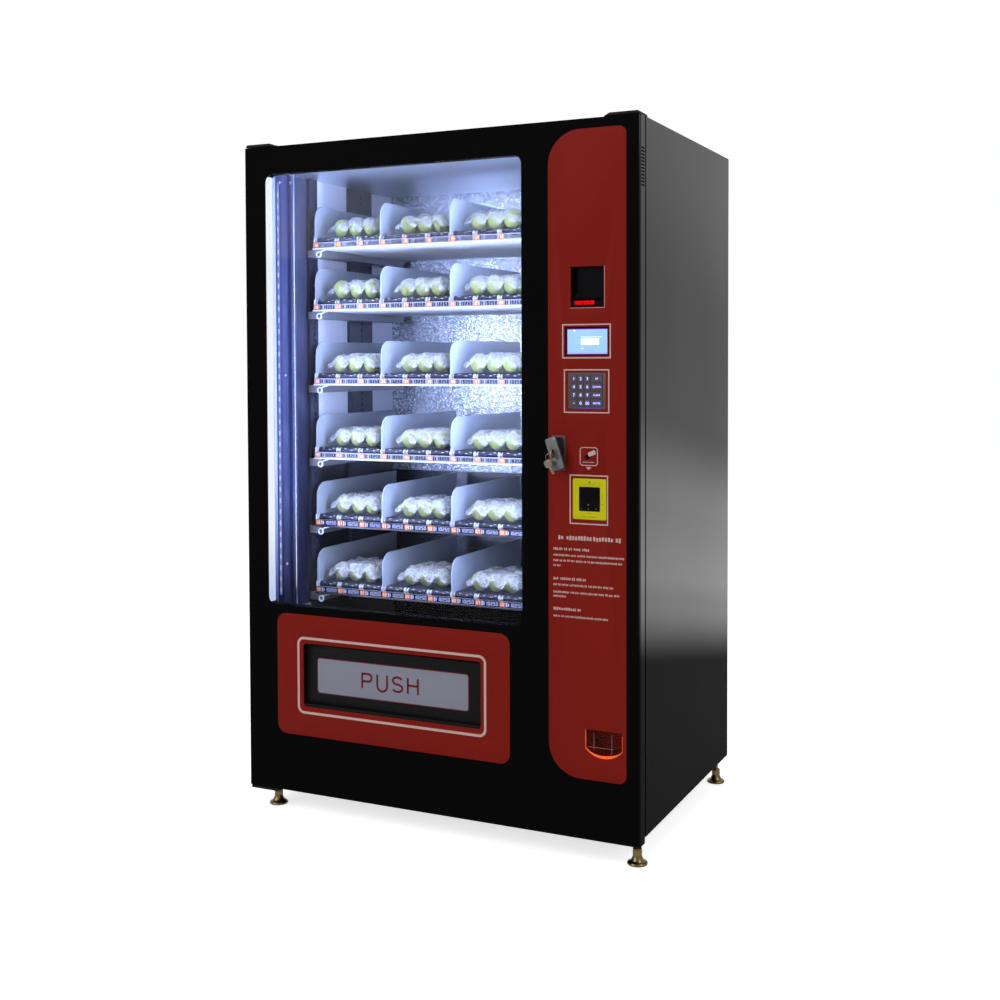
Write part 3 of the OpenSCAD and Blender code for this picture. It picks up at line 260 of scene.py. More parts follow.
def lathe(profile: list[Pair], centre: Point, turns: int = 32, axis: Axis = Axis.Z) -> Patch:
    """A turned shape.

    Args:
        profile: Radius and height of each ring.
        centre: The point at radius 0 and height 0.
        turns: Segments round the axis.
        axis: Z for an upright axis, Y for one that points backwards.

    Returns:
        Rings r (cos t, sin t) at each height, closed at both ends.
    """
    r, h = np.array(profile, float).T
    t = full_turn(turns)
    x, y = r[:, None] * np.cos(t), r[:, None] * np.sin(t)
    z = np.repeat(h[:, None], turns, axis=1)
    points = np.stack([x, y, z] if axis is Axis.Z else [x, z, -y], axis=-1)
    return solid(points + np.array(centre))


def tube(path: np.ndarray, radius: float, sides: int, closed: bool = False) -> Patch:
    """A round bar along a path.

    Args:
        path: Points of the path.
        radius: Radius of the bar.
        sides: Segments round the bar.
        closed: The path's end joins its start.

    Returns:
        Circles p + r (n cos t + b sin t), with n and b square to the path's direction.
    """
    ahead = np.roll(path, -1, axis=0) - np.roll(path, 1, axis=0)
    if not closed:
        ahead[0], ahead[-1] = path[1] - path[0], path[-1] - path[-2]
    ahead = ahead / np.linalg.norm(ahead, axis=1, keepdims=True)
    aside = np.eye(3)[int(np.argmin(np.ptp(path, axis=0)))]
    n = np.cross(ahead, aside)
    n = n / np.maximum(np.linalg.norm(n, axis=1, keepdims=True), 1e-9)
    b = np.cross(ahead, n)
    t = full_turn(sides)[:, None]
    points = path[:, None, :] + radius * (n[:, None, :] * np.cos(t) + b[:, None, :] * np.sin(t))
    return grid(points, close_u=closed, close_v=True, caps=not closed)


def extruded_x(profile: np.ndarray, x0: float, x1: float) -> Patch:
    """A side outline of (y, z) carried along x from x0 to x1, closed at both ends."""
    rows = np.stack([np.column_stack([np.full(len(profile), x), profile]) for x in (x0, x1)])
    return solid(rows)


def extruded_z(profile: np.ndarray, z0: float, z1: float) -> Patch:
    """A plan outline of (x, y) carried up from z0 to z1, closed at both ends."""
    rows = np.stack([np.column_stack([profile, np.full(len(profile), z)]) for z in (z0, z1)])
    return solid(rows)


def lettering(words: str, middle: Pair, y: float, height: float, spacing: float, thick: float) -> Patch:
    """Plain capitals or numbers that stand on a face, centred on a point.

    Args:
        words: The letters or numbers.
        middle: Middle of the word as (x, z).
        y: Depth of the face that carries them.
        height: Height of the letters.
        spacing: Spacing of the letters.
        thick: Distance that they stand out of the face.

    Returns:
        The letters' faces, with x scaled to the height and depth from y - thick to y.
    """
    curve = bpy.data.curves.new("letters", "FONT")
    curve.body, curve.align_x, curve.align_y = words, "CENTER", "CENTER"
    curve.space_character, curve.extrude, curve.resolution_u = spacing, 0.5, 3
    holder = bpy.data.objects.new("letters", curve)
    mesh = bpy.data.meshes.new_from_object(holder)
    co = np.zeros(len(mesh.vertices) * 3)
    mesh.vertices.foreach_get("co", co)
    co = co.reshape(-1, 3)
    low, high = co.min(0), co.max(0)
    flat = (co - (low + high) / 2) * (height / (high[1] - low[1]))
    points = np.column_stack([middle[0] + flat[:, 0], y - (co[:, 2] + 0.5) * thick, middle[1] + flat[:, 1]])
    faces = [tuple(p.vertices) for p in mesh.polygons]
    bpy.data.objects.remove(holder)
    bpy.data.curves.remove(curve)
    bpy.data.meshes.remove(mesh)
    return Patch(points, faces)


def ribbon(path: np.ndarray, width: float, y: float, thick: float) -> Patch:
    """A flat stroke along a path on a face.

    Args:
        path: Points (x, z) of the stroke's middle line.
        width: Width of the stroke.
        y: Depth of the face that carries it.
        thick: Distance that it stands out of the face.

    Returns:
        A rectangle of the width and thickness carried along the path, square to the path's direction.
    """
    ahead = np.gradient(path, axis=0)
    ahead = ahead / np.linalg.norm(ahead, axis=1, keepdims=True)
    aside = np.column_stack([-ahead[:, 1], ahead[:, 0]]) * width / 2
    left, right = path + aside, path - aside
    rows = [at_depth(left, y - thick), at_depth(right, y - thick), at_depth(right, y), at_depth(left, y)]
    return solid(np.stack(rows, axis=1))


def arc(x: float, z: float, r: float, start: float, end: float) -> np.ndarray:
    """Points of an arc round (x, z) from one angle to another, in degrees."""
    t = np.radians(np.linspace(start, end, 17))
    return np.column_stack([x + r * np.cos(t), z + r * np.sin(t)])


def flat_bars(rects: np.ndarray, y: float, thick: float) -> Patch:
    """Many small flat bars on a face.

    Args:
        rects: Rows of left, lower, right and upper side.
        y: Depth of the face that carries them.
        thick: Distance that they stand out of the face.

    Returns:
        One box for each row, its eight corners taken from the row and the two depths.
    """
    x0, z0, x1, z1 = rects.T
    corner_x = np.stack([x0, x1, x1, x0, x0, x1, x1, x0], axis=1)
    corner_z = np.stack([z0, z0, z1, z1, z0, z0, z1, z1], axis=1)
    corner_y = np.repeat(np.array([[y - thick] * 4 + [y] * 4]), len(rects), axis=0)
    points = np.stack([corner_x, corner_y, corner_z], axis=-1).reshape(-1, 3)
    sides = np.array([[0, 1, 2, 3], [7, 6, 5, 4], [0, 4, 5, 1], [1, 5, 6, 2], [2, 6, 7, 3], [3, 7, 4, 0]])
    faces = (sides[None] + 8 * np.arange(len(rects))[:, None, None]).reshape(-1, 4)
    return Patch(points, [tuple(f) for f in faces.tolist()])


def ripple(points: np.ndarray, seed: int, waves: int, pitch: float) -> np.ndarray:
    """Smooth irregular heights over points.

    Args:
        points: The points.
        seed: Seed of the directions and phases.
        waves: Number of waves added together.
        pitch: Longest wave length.

    Returns:
        The sum of sin(k . p + f) over seeded waves of falling length, between about -1 and 1.
    """
    rng = np.random.default_rng(seed)
    ways = rng.normal(size=(waves, 3))
    ways /= np.linalg.norm(ways, axis=1, keepdims=True)
    freq = 2 * np.pi / (pitch / 1.6 ** np.arange(waves))
    phase = rng.uniform(0, 2 * np.pi, waves)
    weight = 0.72 ** np.arange(waves)
    flat = points.reshape(-1, 3)
    total = (np.sin(flat @ (ways * freq[:, None]).T + phase) * weight).sum(1) / weight.sum() * 2.0
    return total.reshape(points.shape[:-1])


# Finishes


class NodeDesk:
    """Adds and links the nodes of one shader tree."""

    def __init__(self, tree: Tree) -> None:
        """Takes the tree to work on."""
        self.tree = tree

    @classmethod
    def cleared(cls, owner: bpy.types.ID) -> "NodeDesk":
        """A desk for the tree of a material or a world, emptied of its nodes.

        Args:
            owner: The material or the world.

        Returns:
            The desk.
        """
        owner.use_nodes = True
        owner.node_tree.nodes.clear()
        return cls(owner.node_tree)

    def add(self, kind: str, inputs: dict | None = None, **settings: object) -> Node:
        """A new node.

        Args:
            kind: The node's type name.
            inputs: Values or sockets by input name or number.
            settings: Properties of the node.

        Returns:
            The node, with its values set and its sockets linked.
        """
        node = self.tree.nodes.new(kind)
        for name, value in settings.items():
            setattr(node, name, value)
        for key, value in (inputs or {}).items():
            self.feed(node.inputs[key], value)
        return node

    def feed(self, socket: Socket, value: object) -> None:
        """Links a socket to the input, or sets a plain value on it.

        Args:
            socket: The input.
            value: A socket to link, or a plain value.
        """
        if isinstance(value, Socket):
            self.tree.links.new(value, socket)
        elif isinstance(value, tuple) and len(value) == 3 and socket.type == "RGBA":
            socket.default_value = (*value, 1.0)
        else:
            socket.default_value = value

    def math(self, operation: str, a: object, b: object = 0.0, c: object = 0.0,
             clamp: bool = False) -> Socket:
        """The result of a math node on a, b and c."""
        return self.add("ShaderNodeMath", {0: a, 1: b, 2: c}, operation=operation, use_clamp=clamp).outputs[0]

    def mix(self, factor: object, a: object, b: object, blend: str = "MIX") -> Socket:
        """The colour between a and b by the factor."""
        values = {0: factor, 6: a, 7: b}
        return self.add("ShaderNodeMix", values, data_type="RGBA", blend_type=blend).outputs[2]

    def spread(self, value: object, low: float, high: float, to_low: float, to_high: float) -> Socket:
        """The value carried from one range to another, held at the ends."""
        return self.add("ShaderNodeMapRange", {0: value, 1: low, 2: high, 3: to_low, 4: to_high}).outputs[0]

    def part(self, vector: Socket, axis: int) -> Socket:
        """One part of a vector: 0 for x, 1 for y and 2 for z."""
        return self.add("ShaderNodeSeparateXYZ", {0: vector}).outputs[axis]

    def bent(self, scale: float, reach: float) -> Socket:
        """Object coordinates pushed aside by a noise, up to a reach in metres.

        Args:
            scale: Scale of the noise.
            reach: How far a point moves, in metres.

        Returns:
            The coordinates plus the reach times the noise's colour.
        """
        noise = self.add("ShaderNodeTexNoise", {"Vector": self.place(), "Scale": scale, "Detail": 1.0})
        values = {0: noise.outputs[1], 1: (reach, reach, reach), 2: self.place()}
        return self.add("ShaderNodeVectorMath", values, operation="MULTIPLY_ADD").outputs[0]

    def cells(self, where: object, scale: object, feature: str = "F1") -> Node:
        """A pattern of cells."""
        return self.add("ShaderNodeTexVoronoi", {"Vector": where, "Scale": scale}, feature=feature)

    def ramp(self, value: object, stops: tuple[Pair, ...]) -> Socket:
        """A grey level read from stops of place and level, eased between them.

        Args:
            value: Where to read, from 0 to 1.
            stops: Place and level of each stop.

        Returns:
            The level.
        """
        node = self.add("ShaderNodeValToRGB", {0: value})
        node.color_ramp.interpolation = "EASE"
        while len(node.color_ramp.elements) < len(stops):
            node.color_ramp.elements.new(0.5)
        for element, (place, level) in zip(node.color_ramp.elements, stops):
            element.position, element.color = place, (level, level, level, 1.0)
        return node.outputs[0]

    def place(self, stretch: object = (1.0, 1.0, 1.0)) -> Socket:
        """Object coordinates multiplied by a stretch."""
        where = self.add("ShaderNodeTexCoord").outputs["Object"]
        return self.add("ShaderNodeVectorMath", {0: where, 1: stretch}, operation="MULTIPLY").outputs[0]

    def noise(self, where: object, scale: object, detail: float = 3.0, roughness: float = 0.5) -> Socket:
        """The strength of a noise pattern."""
        values = {"Vector": where, "Scale": scale, "Detail": detail, "Roughness": roughness}
        return self.add("ShaderNodeTexNoise", values).outputs[0]


LEVEL, COLOR = "NodeSocketFloat", "NodeSocketColor"


class Effect(Enum):
    """Effects that several finishes share, each a shader node group."""

    DRIFT = "Tone drift"
    GRAIN = "Fine grain"
    SCUFF = "Scuffed sheen"
    BRUSH = "Brushed lines"
    DUST = "Settled dust"
    EMBOSS = "Stucco emboss"


class EffectShelf:
    """Builds each shared effect once and hands it to the finishes."""

    grey = (0.5, 0.5, 0.5, 1.0)

    def __init__(self) -> None:
        """Starts with an empty shelf."""
        self.made: dict[Effect, Tree] = {}

    def get(self, effect: Effect) -> Tree:
        """The node group of an effect, built at its first use.

        Args:
            effect: The effect.

        Returns:
            Its node group.
        """
        if effect not in self.made:
            self.made[effect] = getattr(self, "_" + effect.name.lower())(effect.value)
        return self.made[effect]

    @staticmethod
    def _new(name: str, inputs: dict[str, object],
             outputs: dict[str, str]) -> tuple[NodeDesk, dict[str, Socket], Node]:
        """An empty group with named sockets.

        Args:
            name: The group's name.
            inputs: Each input's name and value: a number, a vector of three or a colour of four.
            outputs: Each output's name and kind.

        Returns:
            A desk for the group, its inputs' sockets by name, and its output node.
        """
        kinds = {3: "NodeSocketVector", 4: "NodeSocketColor"}
        tree = bpy.data.node_groups.new(name, "ShaderNodeTree")
        for label, value in inputs.items():
            kind = kinds[len(value)] if isinstance(value, tuple) else "NodeSocketFloat"
            tree.interface.new_socket(label, in_out="INPUT", socket_type=kind).default_value = value
        for label, kind in outputs.items():
            tree.interface.new_socket(label, in_out="OUTPUT", socket_type=kind)
        desk = NodeDesk(tree)
        given = {socket.name: socket for socket in desk.add("NodeGroupInput").outputs}
        return desk, given, desk.add("NodeGroupOutput")

    def _drift(self, name: str) -> Tree:
        """Slow changes of tone: colour times 1 + 2 a (noise - 1/2).

        Args:
            name: The group's name.

        Returns:
            The group's tree.
        """
        inputs = {"Color": self.grey, "Scale": 3.0, "Amount": 0.1}
        desk, given, out = self._new(name, inputs, {"Color": COLOR})
        pattern = desk.noise(desk.place(), given["Scale"], 4.0, 0.55)
        swing = desk.math("MULTIPLY", desk.math("SUBTRACT", pattern, 0.5), given["Amount"])
        tone = desk.math("MULTIPLY_ADD", swing, 2.0, 1.0)
        desk.feed(out.inputs[0], desk.mix(1.0, given["Color"], tone, "MULTIPLY"))
        return desk.tree

    def _grain(self, name: str) -> Tree:
        """Fine even texture of a coat or a moulded face: two noises, one four times finer.

        Args:
            name: The group's name.

        Returns:
            The group's tree.
        """
        desk, given, out = self._new(name, {"Scale": 600.0}, {"Height": LEVEL})
        coarse = desk.noise(desk.place(), given["Scale"], 2.0)
        fine = desk.noise(desk.place(), desk.math("MULTIPLY", given["Scale"], 4.0), 1.0)
        desk.feed(out.inputs[0], desk.math("MULTIPLY_ADD", fine, 0.35, coarse))
        return desk.tree

    def _scuff(self, name: str) -> Tree:
        """Uneven sheen from handling: roughness plus a (noise - 1/2), with sparse finer marks.

        Args:
            name: The group's name.

        Returns:
            The group's tree.
        """
        inputs = {"Roughness": 0.4, "Amount": 0.1, "Scale": 8.0}
        desk, given, out = self._new(name, inputs, {"Roughness": LEVEL})
        broad = desk.math("SUBTRACT", desk.noise(desk.place(), given["Scale"], 5.0, 0.6), 0.5)
        lines = desk.noise(desk.place((9.0, 9.0, 1.0)), desk.math("MULTIPLY", given["Scale"], 3.0), 2.0)
        marks = desk.spread(lines, 0.64, 0.8, 0.0, 1.0)
        swing = desk.math("MULTIPLY", desk.math("MULTIPLY_ADD", marks, 0.6, broad), given["Amount"])
        desk.feed(out.inputs[0], desk.math("ADD", given["Roughness"], swing, clamp=True))
        return desk.tree

    def _brush(self, name: str) -> Tree:
        """Lines left by brushing: noise on coordinates stretched along the brushing.

        Args:
            name: The group's name.

        Returns:
            The group's tree.
        """
        desk, given, out = self._new(name, {"Stretch": (1.0, 1.0, 60.0)}, {"Height": LEVEL, "Tone": LEVEL})
        lines = desk.noise(desk.place(given["Stretch"]), 12.0, 6.0, 0.7)
        desk.feed(out.inputs[0], lines)
        desk.feed(out.inputs[1], desk.spread(lines, 0.3, 0.7, 0.85, 1.1))
        return desk.tree

    def _dust(self, name: str) -> Tree:
        """Dust on faces that look up: colour mixed by the normal's height times noise.

        Args:
            name: The group's name.

        Returns:
            The group's tree.
        """
        inputs = {"Color": self.grey, "Dust": (0.4, 0.38, 0.35, 1.0), "Amount": 0.2}
        desk, given, out = self._new(name, inputs, {"Color": COLOR})
        normal = desk.add("ShaderNodeNewGeometry").outputs["Normal"]
        up = desk.math("MAXIMUM", desk.part(normal, 2), 0.0)
        patchy = desk.spread(desk.noise(desk.place(), 14.0, 6.0, 0.65), 0.35, 0.75, 0.2, 1.0)
        mask = desk.math("MULTIPLY", desk.math("MULTIPLY", up, patchy), given["Amount"])
        desk.feed(out.inputs[0], desk.mix(mask, given["Color"], given["Dust"]))
        return desk.tree

    def _emboss(self, name: str) -> Tree:
        """Stucco pressed into a thin sheet: rounded cells of two sizes, each cell with its own brightness,
        which paints the glints of the pressing.

        Args:
            name: The group's name.

        Returns:
            The group's tree.
        """
        desk, given, out = self._new(name, {"Scale": 90.0}, {"Height": LEVEL, "Tone": LEVEL})
        bent = desk.bent(200.0, 0.004)
        big = desk.cells(bent, given["Scale"], "SMOOTH_F1").outputs[0]
        small = desk.cells(bent, desk.math("MULTIPLY", given["Scale"], 2.1), "SMOOTH_F1").outputs[0]
        desk.feed(out.inputs[0], desk.math("MULTIPLY_ADD", small, 0.5, big))
        facet = desk.part(desk.cells(bent, given["Scale"]).outputs[1], 0)
        # Tone: each cell's brightness, with a few cells much brighter, painted glints.
        desk.feed(out.inputs[1], desk.math("MULTIPLY_ADD", desk.math("POWER", facet, 2.5), 1.3, 0.42))
        return desk.tree


EFFECTS = EffectShelf()


@dataclass(frozen=True)
class Finish:
    """A coat, plastic or metal: plain values on the shader, with drift, sheen and grain from shared effects.

    Below low_edge, a height in metres, the colour turns to low_color within low_soft of that height.
    """

    color: Rgb
    roughness: float = 0.4
    metallic: float = 0.0
    specular: float = 0.5
    drift: float = 0.08
    drift_scale: float = 4.0
    scuff: float = 0.1
    grain: float = 0.05
    grain_scale: float = 500.0
    dust: float = 0.0
    coat_roughness: float = 0.1
    glow: Rgb = (0.0, 0.0, 0.0)
    glow_strength: float = 0.0
    subsurface: float = 0.0
    subsurface_reach: float = 0.006
    low_edge: float = 0.0
    low_color: Rgb = (0.012, 0.013, 0.020)
    low_soft: float = 0.002
    bump_depth: float = 0.001
    name: str = ""

    def __set_name__(self, owner: type, name: str) -> None:
        """Takes the name of the attribute that holds the finish."""
        object.__setattr__(self, "name", name)

    def material(self) -> bpy.types.Material:
        """The finish's material, built at its first use.

        Returns:
            The material, whose shader takes tint, sheen, height and what a special finish adds.
        """
        found = bpy.data.materials.get(f"finish_{self.name}")
        if found:
            return found
        made = bpy.data.materials.new(f"finish_{self.name}")
        desk = NodeDesk.cleared(made)
        shader = desk.add("ShaderNodeBsdfPrincipled", {
            "Metallic": self.metallic, "Specular IOR Level": self.specular,
            "Coat Roughness": self.coat_roughness, "Emission Color": self.glow,
            "Emission Strength": self.glow_strength, "Subsurface Weight": self.subsurface})
        if self.subsurface:
            shader.inputs["Subsurface Scale"].default_value = self.subsurface_reach
        desk.feed(shader.inputs["Base Color"], self.tint(desk))
        desk.feed(shader.inputs["Roughness"], self.sheen(desk))
        height = self.height(desk)
        if height is not None:
            values = {"Height": height, "Strength": self.grain, "Distance": self.bump_depth}
            bump = desk.add("ShaderNodeBump", values)
            desk.feed(shader.inputs["Normal"], bump.outputs[0])
        self.extra(desk, shader)
        desk.feed(desk.add("ShaderNodeOutputMaterial").inputs[0], shader.outputs[0])
        return made

    def group(self, desk: NodeDesk, effect: Effect, **values: object) -> Node:
        """A shared effect placed in the material with its own values."""
        return desk.add("ShaderNodeGroup", values, node_tree=EFFECTS.get(effect))

    def tint(self, desk: NodeDesk) -> Socket:
        """Base colour with slow drift and, where it has any, a darker colour below an edge, and dust.

        Args:
            desk: The material's desk.

        Returns:
            The colour.
        """
        values = {"Color": self.color, "Scale": self.drift_scale, "Amount": self.drift}
        color = self.group(desk, Effect.DRIFT, **values).outputs[0]
        if self.low_edge:
            color = desk.mix(self.above(desk, 1.0), self.low_color, color)
        if self.dust:
            return self.group(desk, Effect.DUST, Color=color, Amount=self.dust).outputs[0]
        return color

    def above(self, desk: NodeDesk, level: float) -> Socket:
        """Nothing below the low edge and a level above it."""
        z = desk.part(desk.place(), 2)
        return desk.spread(z, self.low_edge - self.low_soft, self.low_edge + self.low_soft, 0.0, level)

    def sheen(self, desk: NodeDesk) -> Socket:
        """Roughness with scuffs."""
        return self.group(desk, Effect.SCUFF, Roughness=self.roughness, Amount=self.scuff).outputs[0]

    def height(self, desk: NodeDesk) -> Socket | None:
        """Height of the fine grain, or nothing on a smooth finish."""
        return self.group(desk, Effect.GRAIN, Scale=self.grain_scale).outputs[0] if self.grain else None

    def extra(self, desk: NodeDesk, shader: Node) -> None:
        """What a special finish adds to the shader."""


@dataclass(frozen=True)
class PaintedReflectionCoat(Finish):
    """Black coat whose side faces carry a clear gloss, strongest at knee height and dulled near the floor;
    this gloss by height is a painted reflection.

    The stops give the gloss by the height's share of high, and the height leans by a share of the depth.
    """

    lean: float = 0.19
    high: float = 1.9
    stops: tuple[Pair, ...] = ((0.0, 0.05), (0.24, 0.06), (0.33, 0.80), (0.37, 1.0),
                               (0.47, 0.9), (0.60, 0.42), (0.75, 0.40), (1.0, 0.56))

    def extra(self, desk: NodeDesk, shader: Node) -> None:
        """Coat weight, a painted reflection: the side-facing part of the normal times the stops over the
        leaning height.

        Args:
            desk: The material's desk.
            shader: The material's shader.
        """
        normal = desk.add("ShaderNodeNewGeometry").outputs["Normal"]
        aside = desk.math("ABSOLUTE", desk.part(normal, 0))
        where = desk.place()
        leaning = desk.math("MULTIPLY_ADD", desk.part(where, 1), self.lean, desk.part(where, 2))
        height = desk.math("DIVIDE", leaning, self.high)
        wavy = desk.math("MULTIPLY_ADD", desk.noise(desk.place((1.0, 2.5, 0.7)), 1.3, 2.0), 0.16, 0.92)
        side = desk.spread(aside, 0.45, 0.95, 0.0, 1.0)
        weight = desk.math("MULTIPLY", desk.ramp(height, self.stops), wavy)
        desk.feed(shader.inputs["Coat Weight"], desk.math("MULTIPLY", weight, side, clamp=True))


@dataclass(frozen=True)
class BrushedMetal(Finish):
    """Metal with brushed lines along one direction."""

    stretch: Rgb = (60.0, 60.0, 1.0)

    def tint(self, desk: NodeDesk) -> Socket:
        """Base colour times the lines' tone."""
        tone = self.group(desk, Effect.BRUSH, Stretch=self.stretch).outputs["Tone"]
        return desk.mix(1.0, super().tint(desk), tone, "MULTIPLY")

    def height(self, desk: NodeDesk) -> Socket | None:
        """Height of the lines."""
        return self.group(desk, Effect.BRUSH, Stretch=self.stretch).outputs["Height"]


@dataclass(frozen=True)
class StuccoSheet(Finish):
    """Thin aluminium sheet with a stucco pressing, which turns dark and loses its metal below a given height.
    """

    cells: float = 260.0

    def tint(self, desk: NodeDesk) -> Socket:
        """Base colour times each cell's tone, which paints the glints of the pressing."""
        tone = self.group(desk, Effect.EMBOSS, Scale=self.cells).outputs["Tone"]
        return desk.mix(1.0, super().tint(desk), tone, "MULTIPLY")

    def height(self, desk: NodeDesk) -> Socket | None:
        """Height of the pressing."""
        return self.group(desk, Effect.EMBOSS, Scale=self.cells).outputs["Height"]

    def extra(self, desk: NodeDesk, shader: Node) -> None:
        """Metal above the low edge only."""
        desk.feed(shader.inputs["Metallic"], self.above(desk, self.metallic))


@dataclass(frozen=True)
class RibbedBelt(Finish):
    """Belt with cross ribs."""

    rib: float = 0.006

    def height(self, desk: NodeDesk) -> Socket | None:
        """Ribs along y: sin(2 pi y / rib), with the fine grain on top.

        Args:
            desk: The material's desk.

        Returns:
            The height.
        """
        along = desk.part(desk.place(), 1)
        wave = desk.math("SINE", desk.math("MULTIPLY", along, 2 * math.pi / self.rib))
        return desk.math("MULTIPLY_ADD", super().height(desk), 0.3, wave)


@dataclass(frozen=True)
class ClearSheet(Finish):
    """Glass or clear plastic: light passes through with a faint tint and a gloss on the surface."""

    ior: float = 1.1
    clear: float = 1.0

    def extra(self, desk: NodeDesk, shader: Node) -> None:
        """Transmission and refraction as plain values."""
        shader.inputs["Transmission Weight"].default_value = self.clear
        shader.inputs["IOR"].default_value = self.ior


@dataclass(frozen=True)
class ThinSkin(Finish):
    """Thin film or frosted sheet that covers what lies behind it only in part."""

    cover_low: float = 0.1
    cover_high: float = 0.6
    crease_scale: float = 40.0

    def extra(self, desk: NodeDesk, shader: Node) -> None:
        """Alpha from low to high by a creased noise.

        Args:
            desk: The material's desk.
            shader: The material's shader.
        """
        values = {"Vector": desk.place(), "Scale": self.crease_scale, "Detail": 4.0}
        creases = desk.add("ShaderNodeTexNoise", values, noise_type="RIDGED_MULTIFRACTAL").outputs[0]
        desk.feed(shader.inputs["Alpha"], desk.spread(creases, 0.5, 1.6, self.cover_low, self.cover_high))


@dataclass(frozen=True)
class Wrap(Finish):
    """Clear film that turns white where it is bunched and carries painted highlights along its creases: its
    cover lies on the mesh, crossed by creases.
    """

    crease_scale: float = 60.0
    crease_width: float = 0.07

    def creases(self, desk: NodeDesk, scale: float) -> Socket:
        """Thin lines between the cells of a warped cell pattern.

        Args:
            desk: The material's desk.
            scale: Scale of the cells.

        Returns:
            One on a line, falling to nothing beside it.
        """
        bent = desk.bent(scale * 0.6, 0.012)
        edge = desk.cells(bent, scale, "DISTANCE_TO_EDGE").outputs[0]
        return desk.spread(edge, 0.0, self.crease_width, 1.0, 0.0)

    def extra(self, desk: NodeDesk, shader: Node) -> None:
        """Alpha: the mesh's cover value, raised along coarse and fine creases as painted highlights.

        Args:
            desk: The material's desk.
            shader: The material's shader.
        """
        cover = desk.add("ShaderNodeAttribute", attribute_name="cover").outputs["Fac"]
        fine = desk.math("MULTIPLY", self.creases(desk, self.crease_scale * 2.1), 0.5)
        lines = desk.math("MAXIMUM", self.creases(desk, self.crease_scale), fine)
        crease_highlight = desk.spread(lines, 0.0, 1.0, 0.75, 1.9)
        desk.feed(shader.inputs["Alpha"], desk.math("MULTIPLY", cover, crease_highlight, clamp=True))


@dataclass(frozen=True)
class LitTube(Finish):
    """Lit plastic that glows bluer and less at its foot, between the two heights of fade in metres."""

    color: Rgb = (0.012, 0.012, 0.012)
    roughness: float = 0.6
    specular: float = 0.0
    grain: float = 0.02
    glow_strength: float = 1.0
    low_glow: Rgb = (0.50, 0.60, 0.88)
    fade: Pair = (0.62, 0.82)

    def extra(self, desk: NodeDesk, shader: Node) -> None:
        """Emission colour between the low and the high glow by the height, with faint streaks along z.

        Args:
            desk: The material's desk.
            shader: The material's shader.
        """
        share = desk.spread(desk.part(desk.place(), 2), *self.fade, 0.0, 1.0)
        color = desk.mix(share, self.low_glow, self.glow)
        streaks = desk.spread(desk.noise(desk.place((60.0, 60.0, 1.0)), 6.0, 3.0), 0.3, 0.7, 0.88, 1.05)
        desk.feed(shader.inputs["Emission Color"], desk.mix(1.0, color, streaks, "MULTIPLY"))


@dataclass(frozen=True)
class GlowPanel(Finish):
    """Lit sheet whose light is uneven."""

    specular: float = 0.0
    grain: float = 0.02
    glow_strength: float = 1.0
    patchy: float = 0.3
    patch_scale: float = 60.0

    def extra(self, desk: NodeDesk, shader: Node) -> None:
        """Emission colour times a noise about one.

        Args:
            desk: The material's desk.
            shader: The material's shader.
        """
        pattern = desk.noise(desk.place(), self.patch_scale, 2.0)
        tone = desk.spread(pattern, 0.3, 0.7, 1.0 - self.patchy, 1.0 + self.patchy * 0.4)
        desk.feed(shader.inputs["Emission Color"], desk.mix(1.0, self.glow, tone, "MULTIPLY"))


